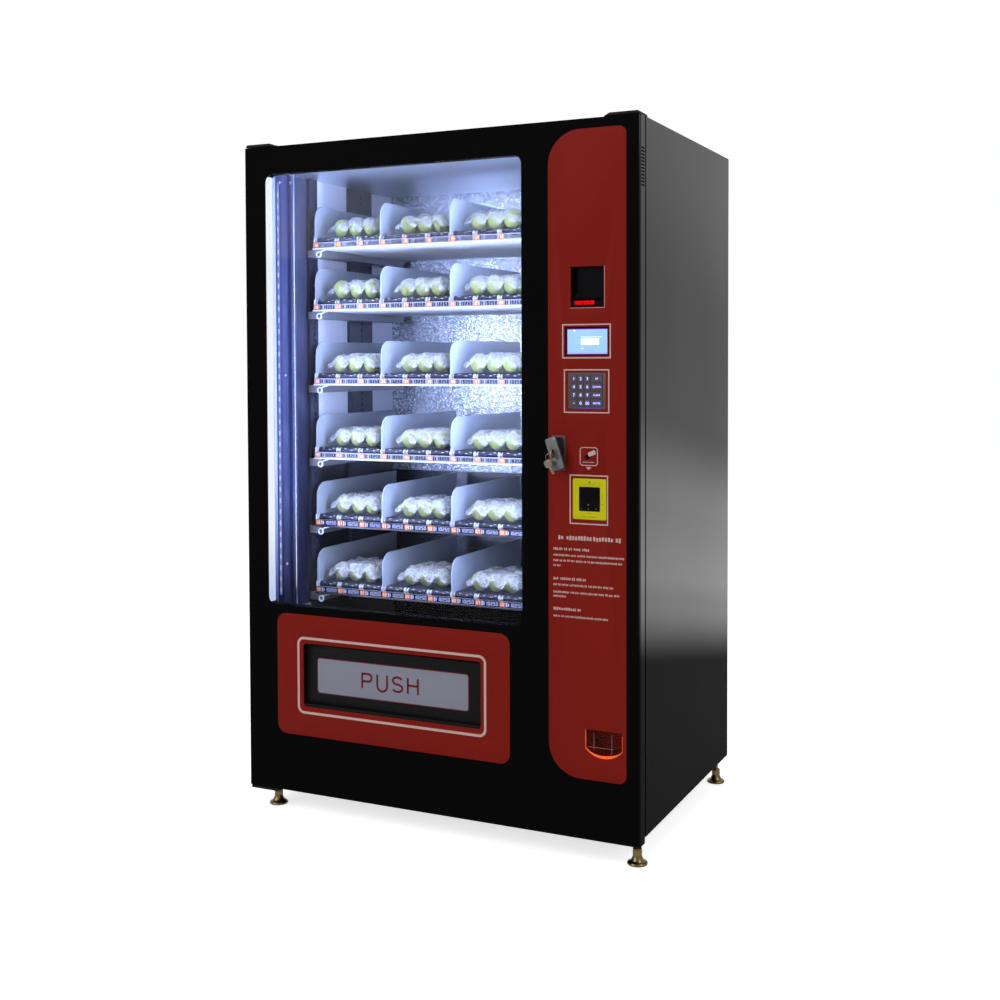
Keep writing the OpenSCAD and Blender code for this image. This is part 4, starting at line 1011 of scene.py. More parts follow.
class Palette:
    """Every finish on the machine, each named by its attribute."""

    # The gloss by height on the side panels and the door is a painted reflection.
    black_coat = PaintedReflectionCoat((0.0030, 0.0030, 0.0032), 0.42, specular=0.0, grain=0.06, grain_scale=900.0,
                           coat_roughness=0.12, dust=0.008)
    rear_coat = Finish((0.010, 0.010, 0.011), 0.34, specular=0.4, grain=0.08, grain_scale=700.0,
                       drift=0.15, drift_scale=3.0, scuff=0.3)
    black_moulding = Finish((0.0034, 0.0034, 0.0036), 0.45, specular=0.06, grain=0.12, grain_scale=900.0)
    black_gloss = Finish((0.003, 0.003, 0.004), 0.2, specular=0.02, grain=0.0)
    black_matt = Finish((0.0026, 0.0026, 0.0030), 0.7, specular=0.0, grain=0.12, grain_scale=900.0)
    red_coat = Finish((0.150, 0.0085, 0.0055), 0.5, specular=0.03, grain=0.05, grain_scale=700.0,
                      drift=0.06, drift_scale=1.5)
    pale_print = Finish((0.42, 0.30, 0.28), 0.5, specular=0.1, grain=0.05)
    liner = Finish((0.72, 0.75, 0.86), 0.35, grain=0.05, grain_scale=300.0, drift=0.05, low_edge=1.0,
                   low_color=(0.006, 0.0065, 0.013))
    ceiling_satin = Finish((0.60, 0.66, 0.78), 0.30, metallic=0.9, specular=0.1, grain=0.03, drift=0.12,
                           drift_scale=6.0)
    stucco = StuccoSheet((0.68, 0.74, 0.86), 0.24, metallic=0.92, specular=0.1, grain=0.45, scuff=0.1,
                         low_edge=0.939)
    upright_steel = Finish((0.036, 0.041, 0.066), 0.45, metallic=0.3)
    runner_steel = BrushedMetal((0.22, 0.23, 0.26), 0.4, metallic=0.6, grain=0.1, stretch=(60.0, 1.0, 60.0))
    tray_coat = Finish((0.62, 0.64, 0.70), 0.4, grain=0.06)
    frosted = ThinSkin((0.40, 0.45, 0.52), 0.4, grain=0.05, cover_low=0.62, cover_high=0.80,
                       crease_scale=3.0)
    belt = RibbedBelt((0.007, 0.008, 0.020), 0.5, specular=0.3, grain=0.5)
    belt_lug = Finish((0.19, 0.20, 0.24), 0.4, grain=0.04)
    nylon = Finish((0.42, 0.43, 0.46), 0.35, grain=0.04)
    rail_white = Finish((0.48, 0.50, 0.55), 0.3, grain=0.03)
    rail_lip = Finish((0.42, 0.44, 0.50), 0.3, grain=0.03, low_edge=0.90)
    # Below its low edge the guide cover fades into painted shade of the lower compartment.
    guide_cover = Finish((0.085, 0.096, 0.165), 0.3, metallic=0.4, grain=0.04, low_edge=1.2,
                         low_color=(0.014, 0.016, 0.045), low_soft=0.45)
    # A sheet in front of the liner whose bluish colour and dark foot are painted shade.
    front_strip = Finish((0.42, 0.48, 0.76), 0.3, grain=0.04, low_edge=0.80, low_color=(0.04, 0.046, 0.14),
                         low_soft=0.2)
    label_navy = Finish((0.007, 0.008, 0.022), 0.5, specular=0.0, grain=0.02)
    label_orange = Finish((0.44, 0.12, 0.017), 0.5, specular=0.05, grain=0.03)
    label_pale = Finish((0.17, 0.18, 0.235), 0.5, specular=0.1, grain=0.03)
    label_digits = Finish((0.32, 0.34, 0.50), 0.5, specular=0.1, grain=0.03)
    # Below its low edge the guide metal fades into painted shade of the lower compartment.
    guide_metal = BrushedMetal((0.10, 0.12, 0.27), 0.3, metallic=0.6, grain=0.08, low_edge=0.76,
                               low_color=(0.012, 0.014, 0.06), low_soft=0.14)
    polished = Finish((0.80, 0.82, 0.88), 0.16, metallic=1.0, grain=0.02)
    light_diffuser = LitTube(glow=(0.88, 0.93, 0.97))
    light_carrier = LitTube(glow=(0.22, 0.28, 0.70), low_glow=(0.10, 0.13, 0.35))
    light_lens = LitTube(glow=(0.55, 0.61, 0.92), low_glow=(0.22, 0.27, 0.52))
    grey_box = Finish((0.17, 0.18, 0.2), 0.5, grain=0.1)
    brass = Finish((0.115, 0.088, 0.036), 0.26, metallic=0.95, grain=0.03, scuff=0.25, drift=0.3,
                   drift_scale=60.0)
    glass = ClearSheet((0.97, 0.985, 0.99), 0.0, specular=0.5, drift=0.0, scuff=0.0, grain=0.0)
    clear_plastic = ClearSheet((0.75, 0.42, 0.38), 0.08, grain=0.02, scuff=0.02)
    rubber = Finish((0.010, 0.010, 0.011), 0.6, grain=0.1)
    keypad_metal = Finish((0.072, 0.058, 0.066), 0.45, specular=0.12, grain=0.1, grain_scale=900.0)
    legend_glow = Finish((0.1, 0.08, 0.3), 0.4, specular=0.0, grain=0.02, glow=(0.25, 0.25, 1.0),
                         glow_strength=4.4)
    legend_dim = Finish((0.06, 0.03, 0.2), 0.4, specular=0.0, grain=0.02, glow=(0.08, 0.03, 0.40),
                        glow_strength=1.0)
    screen = GlowPanel((0.03, 0.05, 0.09), 0.15, specular=0.1, grain=0.01, glow=(0.35, 0.63, 0.95),
                       patchy=0.08, patch_scale=18.0)
    screen_box = Finish((0.9, 0.9, 0.9), 0.2, grain=0.01, glow=(0.95, 1.0, 0.96), glow_strength=1.0)
    screen_edge = Finish((0.1, 0.05, 0.3), 0.2, specular=0.0, grain=0.01, glow=(0.52, 0.26, 1.0),
                         glow_strength=1.0)
    screen_rim = Finish((0.02, 0.005, 0.05), 0.2, specular=0.0, grain=0.01, glow=(0.12, 0.012, 0.30),
                        glow_strength=1.0)
    red_glow = GlowPanel((0.2, 0.002, 0.002), 0.4, glow=(0.92, 0.004, 0.003), patchy=0.7, patch_scale=110.0)
    # Light painted on the coin cup's rim.
    amber_glow = GlowPanel((0.3, 0.05, 0.01), 0.4, glow=(0.85, 0.105, 0.025), patchy=0.35, patch_scale=45.0)
    yellow_plastic = Finish((0.43, 0.415, 0.006), 0.4, grain=0.08, specular=0.03)
    olive_print = Finish((0.16, 0.15, 0.01), 0.5, grain=0.03)
    zinc = Finish((0.092, 0.094, 0.098), 0.42, metallic=0.85, grain=0.25, grain_scale=350.0, scuff=0.2,
                  drift=0.3, drift_scale=60.0)
    die_cast = Finish((0.042, 0.028, 0.028), 0.5, metallic=0.7, grain=0.25, grain_scale=350.0, scuff=0.2,
                      drift=0.25, drift_scale=40.0)
    nickel = BrushedMetal((0.135, 0.125, 0.098), 0.28, metallic=1.0, grain=0.08)
    amber_cup = Finish((0.22, 0.028, 0.020), 0.4, specular=0.05, grain=0.05)
    flap_rib = Finish((0.38, 0.14, 0.14), 0.4, specular=0.05, grain=0.02)
    edge_pink = Finish((0.50, 0.20, 0.17), 0.5, specular=0.05, grain=0.05)
    sign_white = Finish((0.175, 0.183, 0.228), 0.45, specular=0.1, grain=0.03, drift=0.04)
    sign_red = Finish((0.105, 0.004, 0.010), 0.45, specular=0.1, grain=0.03)
    egg_shell = Finish((0.185, 0.225, 0.058), 0.42, specular=0.3, grain=0.05, drift=0.2, drift_scale=30.0,
                       subsurface=0.1)
    film = Wrap((0.34, 0.35, 0.38), 0.15, grain=0.5, grain_scale=120.0)


PALETTE = Palette()


# Pieces


def dress(node: str, finish: Finish) -> None:
    """Gives a carried-over CAD node a finish.

    Args:
        node: The node's name.
        finish: The finish.
    """
    mesh = frame["nodes"][node].data
    mesh.materials.clear()
    mesh.materials.append(finish.material())


def to_row(points: np.ndarray) -> np.ndarray:
    """Millimetres in the door's frame as metres in the row frame: p / 1000 plus the frame's origin."""
    return points * METRES + ORIGIN


def linked(name: str, data: bpy.types.ID) -> bpy.types.Object:
    """A new object that stands in the scene.

    Args:
        name: The object's name.
        data: Its mesh, lamp or camera.

    Returns:
        The object.
    """
    made = bpy.data.objects.new(name, data)
    bpy.context.scene.collection.objects.link(made)
    return made


def make_piece(name: str, patch: Patch, finish: Finish, body: Body | str,
               replaces: tuple[str, ...] = (), crease: float = 35.0, closed: bool = True) -> bpy.types.Object:
    """An object from a patch, on its body.

    Args:
        name: The piece's name.
        patch: Its surface.
        finish: Its finish.
        body: The body it rides on.
        replaces: CAD nodes that it stands for.
        crease: Edges sharper than this angle stay hard.
        closed: The surface encloses a solid, so its faces can be turned outwards.

    Returns:
        The object, at the origin, with its place in its mesh.
    """
    mesh = bpy.data.meshes.new(name)
    mesh.from_pydata(to_row(patch.points), [], patch.faces)
    if closed:
        work = bmesh.new()
        work.from_mesh(mesh)
        bmesh.ops.recalc_face_normals(work, faces=work.faces)
        work.to_mesh(mesh)
        work.free()
    mesh.polygons.foreach_set("use_smooth", np.ones(len(mesh.polygons), bool))
    mesh.set_sharp_from_angle(angle=math.radians(crease))
    mesh.materials.append(finish.material())
    mesh.update()
    made = linked(name, mesh)
    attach(made, body.value if isinstance(body, Body) else body)
    if replaces:
        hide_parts(*replaces)
    LOG.info("%s: %d faces", name, len(mesh.polygons))
    return made


def bevelled_copy(node: str, finish: Finish, width: float, segments: int = 2) -> bpy.types.Object:
    """A copy of a CAD node with rounded edges, which stands for the node.

    Args:
        node: The CAD node.
        finish: The copy's finish.
        width: Width of the rounding in millimetres.
        segments: Segments of the rounding.

    Returns:
        The copy, merged to one skin, with a Bevel modifier on its sharp edges.
    """
    source = frame["nodes"][node]
    mesh = source.data.copy()
    work = bmesh.new()
    work.from_mesh(mesh)
    bmesh.ops.remove_doubles(work, verts=work.verts, dist=1e-5)
    bmesh.ops.dissolve_limit(work, angle_limit=math.radians(1.0), verts=work.verts, edges=work.edges)
    work.to_mesh(mesh)
    work.free()
    mesh.polygons.foreach_set("use_smooth", np.ones(len(mesh.polygons), bool))
    mesh.materials.clear()
    mesh.materials.append(finish.material())
    made = linked(node + "_dressed", mesh)
    rounding = made.modifiers.new("Rounded edges", "BEVEL")
    rounding.width, rounding.segments, rounding.limit_method = width * METRES, segments, "ANGLE"
    rounding.angle_limit, rounding.harden_normals = math.radians(40), True
    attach(made, source["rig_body"])
    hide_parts(node)
    LOG.info("%s: rounded copy", node)
    return made


@dataclass
class Cabinet:
    """The cabinet's shell, hinges and feet."""

    foot_x: tuple[float, ...] = (-548.0, 572.0, -578.0, 572.0)
    foot_y: tuple[float, ...] = (60.0, 60.0, 788.0, 788.0)
    floor_z: float = -66.0
    base_z: float = 14.0
    pad_r: float = 27.0
    bell_r: Pair = (24.8, 11.6)
    bell_z: Pair = (7.6, 24.8)
    stem_r: float = 6.5
    stem_z: Pair = (45.0, 80.0)
    thread_pitch: float = 0.75
    thread_depth: float = 0.35
    nut_r: float = 11.0
    nut_h: float = 9.5
    hinge_edge: float = 1.2

    def foot_profile(self) -> list[Pair]:
        """Outline of a turned foot: rounded rim, hollow bell, long collar and threaded stem.

        Returns:
            Radius and height of each ring; the bell narrows by t^0.6 and rises by t^1.4.
        """
        r = self.pad_r
        rim = [(0.0, 0.0), (r - 2.5, 0.0), (r - 0.6, 0.8), (r, 2.4), (r, 4.6), (r - 1.4, 6.6)]
        t = np.linspace(0, 1, 10)
        (wide, narrow), (low, high) = self.bell_r, self.bell_z
        bell = zip(wide - (wide - narrow) * t ** 0.6, low + (high - low) * t ** 1.4)
        collar = [(12.4, 25.6), (12.6, 27.0), (12.2, 40.5), (11.2, 42.4), (8.6, 43.2), (self.stem_r, 44.0)]
        z = np.arange(*self.stem_z, self.thread_pitch)
        thread = zip(self.stem_r - self.thread_depth * (np.arange(len(z)) % 2), z)
        return [*rim, *bell, *collar, *thread, (0.0, self.stem_z[1])]

    def build(self) -> None:
        """Dresses the shell and builds the feet, each with a six-sided nut in the base."""
        for node in ("left_side_panel", "right_side_panel", "base_frame", "top_panel"):
            dress(node, PALETTE.black_coat)
        dress("rear_panel", PALETTE.rear_coat)
        bevelled_copy("hinge_plates", PALETTE.black_moulding, self.hinge_edge)
        t = np.radians(np.arange(6) * 60.0)
        feet = []
        for x, y in zip(self.foot_x, self.foot_y):
            feet.append(lathe(self.foot_profile(), (x, y, self.floor_z), 40))
            plan = np.column_stack([x + self.nut_r * np.cos(t), y + self.nut_r * np.sin(t)])
            feet.append(extruded_z(plan, self.base_z - self.nut_h, self.base_z))
        make_piece("feet", joined(feet), PALETTE.brass, Body.CABINET, ("levelling_feet",))


@dataclass
class Compartment:
    """The lit inside: walls, uprights, lift guides, lights and the lift."""

    inner_left: float = -560.0
    inner_right: float = 287.0
    window: Box = (-535.0, 537.0, 273.0, 1778.0)
    ceiling: float = 1800.0
    base_top: float = 74.0
    platform_edge: float = 0.5
    light_y: Point = (8.6, 35.0, 36.0)
    light_t: float = 1.2
    light_sunk: float = 4.0
    light_end: float = 2.0
    holder_t: Pair = (0.2, 0.6)
    guide_front: float = 86.0
    guide_d: float = 20.0
    lens_in: float = 9.2
    lens_pitch: float = 33.3
    lens_half: Pair = (2.8, 8.0)
    lens_end: float = 12.0
    rod_in: float = 22.5
    rod_y: float = 146.0
    rod_r: float = 2.6
    rod_joint: float = 900.0
    screw: tuple[Pair, ...] = ((0.0, -1.8), (2.6, -1.6), (3.8, -0.9), (4.2, 0.0), (0.0, 0.2))
    screw_spots: tuple[Pair, ...] = ((100.0, 1794.0), (133.0, 1794.0), (133.0, 1770.0), (80.5, 1765.0),
                                     (102.0, 1200.0), (102.0, 640.0))
    cover_y: float = 166.0
    strip_y: float = 54.0
    strip_share: Pair = (0.39, 0.5)
    sheet_gap: float = 4.0
    sheet_y: Pair = (50.0, 763.0)

    def walls(self) -> tuple[Pair, Pair]:
        """The direction into the compartment and the place of its left and right wall."""
        return (1.0, self.inner_left), (-1.0, self.inner_right)

    def build(self) -> None:
        """Dresses the walls and builds the lights, the rods and the cover sheets."""
        for node in ("left_inner_wall", "partition_wall"):
            dress(node, PALETTE.liner)
        dress("rear_inner_wall", PALETTE.stucco)
        dress("tray_uprights", PALETTE.upright_steel)
        dress("tray_runners", PALETTE.runner_steel)
        dress("lift_guides", PALETTE.guide_metal)
        bevelled_copy("lift_platform", PALETTE.runner_steel, self.platform_edge)
        dress("delivery_bin", PALETTE.black_moulding)
        dress("control_box", PALETTE.grey_box)
        self.lights()
        self.light_rows()
        self.rods()
        self.covers()

    def lights(self) -> None:
        """Light bars on both sides of the reveal: a rounded diffuser and a plain holder behind it."""
        x0, z0, x1, z1 = self.window
        z0, z1 = z0 + self.light_end, z1 - self.light_end
        front, split, back = self.light_y
        t = np.radians(np.linspace(0, 180, 13))
        sunk = [-self.light_sunk, -self.light_sunk]
        thin, thick = self.holder_t
        bulge = np.append(self.light_t * np.sin(t) ** 0.5, sunk)
        bulge_y = np.append(front + (split - front) * (1 - np.cos(t)) / 2, [split, front])
        holder = np.array([thin, thick, thick, *sunk])
        holder_y = np.array([split, split + thick, back, back, split])
        sides = ((1.0, x0), (-1.0, x1))
        for name, finish, out, y in (("light_diffusers", PALETTE.light_diffuser, bulge, bulge_y),
                                     ("light_holders", PALETTE.guide_cover, holder, holder_y)):
            bars = [extruded_z(np.column_stack([edge + side * out, y]), z0, z1) for side, edge in sides]
            make_piece(name, joined(bars), finish, Body.DOOR, ("light_bars",))

    def light_rows(self) -> None:
        """A row of small light lenses on a flat carrier along the front of each lift guide.

        A lens is a spindle half sunk into the guide: its radius is a half-width times the sine's square root
        along its length.
        """
        z0, z1 = self.window[1] + self.lens_end, self.window[3] - self.lens_end
        r, half = self.lens_half
        t = np.linspace(0.0, np.pi, 11)
        spindle = list(zip(r * np.sqrt(np.abs(np.sin(t))), -half * np.cos(t)))
        across = np.array([-4.0, -3.6, 3.6, 4.0])
        depth = self.guide_front + np.array([0.3, -0.6, -0.6, 0.3])
        carriers, lenses = [], []
        for side, x in self.walls():
            middle = x + side * self.lens_in
            carriers.append(extruded_z(np.column_stack([middle + across, depth]), z0, z1))
            lenses += [lathe(spindle, (middle, self.guide_front, z), 12)
                       for z in np.arange(z0 + 14.0, z1 - half, self.lens_pitch)]
        make_piece("light_carriers", joined(carriers), PALETTE.light_carrier, Body.CABINET)
        make_piece("light_lenses", joined(lenses), PALETTE.light_lens, Body.CABINET)

    def rods(self) -> None:
        """Polished rod and fixing screws on each lift guide."""
        head = lathe(list(self.screw), (0.0, 0.0, 0.0), 14, Axis.Y)
        rods, heads = [], []
        for side, x in self.walls():
            rod = x + side * self.rod_in
            path = np.array([[rod, self.rod_y, z] for z in (self.base_top, self.rod_joint, self.ceiling)])
            rods.append(tube(path, self.rod_r, 12))
            facing = head.turned(Axis.Z, 90.0 * side, (0.0, 0.0, 0.0))
            heads += [facing.moved(x + side * self.guide_d, y, z) for y, z in self.screw_spots]
        make_piece("lift_rods", joined(rods), PALETTE.polished, Body.CABINET)
        make_piece("guide_screws", joined(heads), PALETTE.nylon, Body.CABINET)

    def covers(self) -> None:
        """Folded sheets on each side wall, behind and before the lift guide, and the ceiling's sheet; the
        sheet before the guide is painted shade on the liner.
        """
        along = np.array([0.0, 0.0, 2.0, 76.0, 78.0, 78.0])
        out = np.array([0.0, 2.2, 3.0, 3.0, 2.2, 0.0])
        z0, z1 = self.base_top + self.sheet_gap, self.ceiling - self.sheet_gap
        for name, finish, start, (wide, thick) in (
                ("guide_covers", PALETTE.guide_cover, self.cover_y, (1.0, 1.0)),
                ("painted_shade_strips", PALETTE.front_strip, self.strip_y, self.strip_share)):
            sheets = [extruded_z(np.column_stack([x + side * out * thick, start + along * wide]), z0, z1)
                      for side, x in self.walls()]
            make_piece(name, joined(sheets), finish, Body.CABINET)
        y0, y1 = self.sheet_y
        fold = np.array([[y0, 0.0], [y0, -1.6], [y0 + 1.5, -2.4], [y1 - 1.5, -2.4], [y1, -1.6], [y1, 0.0]])
        sheet = extruded_x(fold + [0.0, self.ceiling - 0.2], self.inner_left + 0.5, self.inner_right - 0.5)
        make_piece("ceiling_sheet", sheet, PALETTE.ceiling_satin, Body.CABINET)


@dataclass
class TrayStack:
    """Six belt trays with their labels and the packs that stand on them."""

    x0: float = -524.0
    width: float = 775.0
    belts: int = 10
    lanes: int = 3
    lane_belts: int = 3
    front: float = 230.0
    top: float = 1600.0
    step: float = 1046.0 / 56.0
    steps: tuple[int, ...] = (0, 10, 22, 34, 45, 56)
    lit_trays: int = 4
    label_h: float = 16.0
    label_weights: Pair = (0.44, 0.28)
    tag_w: float = 17.5
    bars: tuple[Point, ...] = ((19.5, 23.5, 1.5), (25.5, 29.0, 3.0))
    code_place: Pair = (2.6, 3.2)
    code_size: Pair = (5.0, 9.6)
    price: str = "10250"
    price_place: Pair = (32.0, 2.6)
    price_size: Pair = (6.4, 10.8)
    ring_in: float = 21.0
    ring_drop: float = 36.0
    ring_y: float = 227.5
    ring_r: float = 8.0
    arm_run: Pair = (6.0, 22.0)
    arm_rise: float = 7.0
    lug_half: Point = (4.6, 1.5, 1.9)
    lug_spots: tuple[Point, ...] = ((0.32, 241.5, 12.0), (0.62, 239.4, 8.5), (0.78, 241.5, 12.0))
    belt_top: float = 15.0
    pack_seed: int = 40
    pack_in: float = 44.0
    seat: float = 1.5
    egg_r: float = 24.0
    egg_h: float = 54.0
    egg_taper: float = 0.16
    egg_lean: float = 0.10
    egg_pitch: float = 53.0
    columns: int = 3
    rows: int = 3
    skirt: float = 18.0
    film_grid: tuple[int, int] = (111, 81)
    film_waves: int = 9
    film_wave: float = 32.0
    film_margin: float = 8.0
    film_lift: float = 6.0
    film_white: tuple[float, ...] = (0.40, 0.42, 0.44, 0.46, 0.52, 0.52)

    def build(self) -> None:
        """Dresses the trays and builds labels, rings, lugs and packs."""
        dress("tray_pans", PALETTE.tray_coat)
        dress("lane_dividers", PALETTE.frosted)
        dress("conveyor_belts", PALETTE.belt)
        dress("price_rails", PALETTE.rail_lip)
        trays = range(len(self.steps))
        for n in trays:
            dress(f"idler_rollers_{n + 1}", PALETTE.nylon)
        lit, dark = self.label_weights
        self.labels("upper", trays[:self.lit_trays], PALETTE.label_pale, PALETTE.label_navy, lit)
        self.labels("lower", trays[self.lit_trays:], PALETTE.label_navy, PALETTE.label_digits, dark)
        self.rings()
        self.lugs()
        for n in trays:
            self.packs(n)

    def level(self, n: int) -> float:
        """Height of a tray's rail top."""
        return self.top - self.steps[n] * self.step

    def labels(self, group: str, trays: range, paper: Finish, ink: Finish, weight: float) -> None:
        """Label strips, orange tags and numbers on the price rails.

        Args:
            group: Name of the group of trays.
            trays: Numbers of the trays.
            paper: Finish of the strips.
            ink: Finish of the prices.
            weight: Share of a number's width that a stroke takes.
        """
        pitch = self.width / self.belts
        (code_x, code_z), (price_x, price_z) = self.code_place, self.price_place
        strips, tags, codes, digits, marks = [], [], [], [], []
        for n in trays:
            high = self.level(n) - 0.4
            low = high - self.label_h
            strips.append([self.x0 + 1.0, low, self.x0 + self.width - 1.0, high])
            for b in range(self.belts):
                x = self.x0 + b * pitch + 2.0
                tags.append([x, low + 0.5, x + self.tag_w, high - 0.5])
                marks += [[x + start, low + inset, x + end, high - inset] for start, end, inset in self.bars]
                code = f"{10 * (n + 1) + b:02d}"
                codes.append(self.numerals(code, x + code_x, low + code_z, self.code_size))
                digits.append(self.numerals(self.price, x + price_x, low + price_z, self.price_size, weight))
        for kind, rects, y, thick, finish in (
                ("strips", np.array(strips), self.front, 0.3, paper),
                ("tags", np.array(tags), self.front - 0.3, 0.2, PALETTE.label_orange),
                ("codes", np.concatenate(codes), self.front - 0.5, 0.15, PALETTE.rail_white),
                ("prices", np.concatenate([*digits, np.array(marks)]), self.front - 0.3, 0.2, ink)):
            bars = flat_bars(rects, y, thick)
            make_piece(f"label_{kind}_{group}", bars, finish, Body.CABINET)

    @staticmethod
    def numerals(digits: str, x: float, z: float, size: Pair, weight: float = 0.32,
                 pitch: float = 1.32) -> np.ndarray:
        """Numbers made of seven straight strokes.

        Args:
            digits: The numbers.
            x: Left side of the first one.
            z: Lower side.
            size: Width and height of a number.
            weight: Share of the width that a stroke takes.
            pitch: Distance from one number to the next in widths.

        Returns:
            One row of left, lower, right and upper side for each stroke.
        """
        w, h = size
        s = w * weight
        strokes = {"a": (0, h - s, w, h), "b": (w - s, h / 2, w, h), "c": (w - s, 0, w, h / 2),
                   "d": (0, 0, w, s), "e": (0, 0, s, h / 2), "f": (0, h / 2, s, h),
                   "g": (0, h / 2 - s / 2, w, h / 2 + s / 2)}
        shapes = ["abcdef", "bc", "abged", "abgcd", "fgbc", "afgcd", "afgedc", "abc", "abcdefg", "abcdfg"]
        starts = [np.array([x + i * w * pitch, z] * 2) for i in range(len(digits))]
        rows = [np.array(strokes[k]) + start for start, d in zip(starts, digits) for k in shapes[int(d)]]
        return np.array(rows)

    def rings(self) -> None:
        """White pull rings under both front ends of each tray, with a hook that holds them."""
        t = full_turn(28)
        s = np.linspace(0, 1, 9)
        start, run = self.arm_run
        rise = self.arm_rise * (1.0 + np.sin(np.pi * s * 0.5))
        parts = []
        for n in range(len(self.steps)):
            z = self.level(n) - self.ring_drop
            for x, side in ((self.x0 + self.ring_in, 1.0), (self.x0 + self.width - self.ring_in, -1.0)):
                loop = np.column_stack([x + self.ring_r * np.cos(t), z + self.ring_r * np.sin(t)])
                arm = np.column_stack([x + side * (start + run * s), z + rise])
                parts.append(tube(at_depth(loop, self.ring_y), 2.2, 8, closed=True))
                parts.append(tube(at_depth(arm, self.ring_y + 1.0), 2.0, 8))
        make_piece("tray_rings", joined(parts), PALETTE.rail_white, Body.CABINET)

    def lugs(self) -> None:
        """White lugs on the front bend of each belt: small ellipsoids in rows, pressed half into the belt."""
        t, a = np.meshgrid(np.linspace(0, np.pi, 6), full_turn(8), indexing="ij")
        long, deep, high = self.lug_half
        ball = [long * np.cos(t), deep * np.sin(t) * np.cos(a), high * np.sin(t) * np.sin(a)]
        lug = grid(np.stack(ball, axis=-1), close_v=True)
        pitch = self.width / self.belts
        parts = [lug.moved(self.x0 + (b + share) * pitch, y, self.level(n) + lift)
                 for n in range(len(self.steps)) for b in range(self.belts)
                 for share, y, lift in self.lug_spots]
        make_piece("belt_lugs", joined(parts), PALETTE.belt_lug, Body.CABINET)

    def packs(self, n: int) -> None:
        """The wrapped packs of one tray, one in each wide lane.

        Args:
            n: The tray's number, from 0 at the top.
        """
        pitch = self.width / self.belts
        eggs, films, covers = [], [], []
        z = self.level(n) + self.belt_top
        for lane in range(self.lanes):
            rng = np.random.default_rng(self.pack_seed + 7 * n + lane)
            x = self.x0 + (lane + 0.5) * self.lane_belts * pitch + rng.uniform(0.0, 9.0)
            y = self.front + self.pack_in + rng.uniform(-4.0, 14.0)
            eggs.append(self.eggs(x, y, z, rng))
            film, cover = self.film(x, y, z, 100 * n + lane, self.film_white[n])
            films.append(film)
            covers.append(cover.ravel())
        make_piece(f"eggs_{n + 1}", joined(eggs), PALETTE.egg_shell, Body.CABINET)
        wraps = make_piece(f"wraps_{n + 1}", joined(films), PALETTE.film, Body.CABINET,
                           closed=False, crease=180.0)
        painted = wraps.data.attributes.new("cover", "FLOAT", "POINT")
        painted.data.foreach_set("value", np.concatenate(covers))

    def eggs(self, x: float, y: float, z: float, rng: np.random.Generator) -> Patch:
        """A pack of eggs standing on their pointed ends.

        Args:
            x: Middle of the pack.
            y: Depth of the front row.
            z: Height of the belt.
            rng: Source of the small differences between eggs.

        Returns:
            For each egg r(s) = R sin(s) (1 - k cos(s)) and h(s) = H (1 - cos(s)) / 2, leaning a little.
        """
        s = np.linspace(0.0, np.pi, 13)
        t = full_turn(16)
        r = self.egg_r * np.sin(s) * (1 - self.egg_taper * np.cos(s))
        r[[0, -1]] = 0.02
        h = np.repeat((self.egg_h * (1 - np.cos(s)) / 2)[:, None], len(t), 1)
        shape = np.stack([r[:, None] * np.cos(t), r[:, None] * np.sin(t), h], axis=-1)
        parts = []
        for i in range(self.columns):
            for j in range(self.rows):
                lean = rng.uniform(-self.egg_lean, self.egg_lean, 2)
                egg = shape * rng.uniform(0.95, 1.04)
                egg = egg + egg[..., 2:] * [lean[0], lean[1], 0.0]
                aside = (i - (self.columns - 1) / 2) * self.egg_pitch
                spot = np.array([x + aside, y + j * self.egg_pitch, z + self.seat])
                parts.append(solid(egg + spot))
        return joined(parts)

    @staticmethod
    def rounded_span(n: int, power: float, knee: float = 0.85, middle: float = 0.55) -> np.ndarray:
        """Values from -1 to 1 in even steps over the middle, then in even angles round a shoulder.

        Args:
            n: How many values.
            power: The superellipse's exponent.
            knee: Value at which the shoulder begins.
            middle: Share of the values that come before it.

        Returns:
            For each end v = sin(a)^(2 / power), so that (1 - v^power)^(1/2) = cos(a).
        """
        t = np.linspace(-1.0, 1.0, n)
        start = np.arcsin(knee ** (power / 2))
        angle = start + (np.pi / 2 - start) * np.clip((np.abs(t) - middle) / (1 - middle), 0, 1)
        shoulder = np.sin(angle) ** (2 / power)
        return np.sign(t) * np.where(np.abs(t) < middle, np.abs(t) / middle * knee, shoulder)

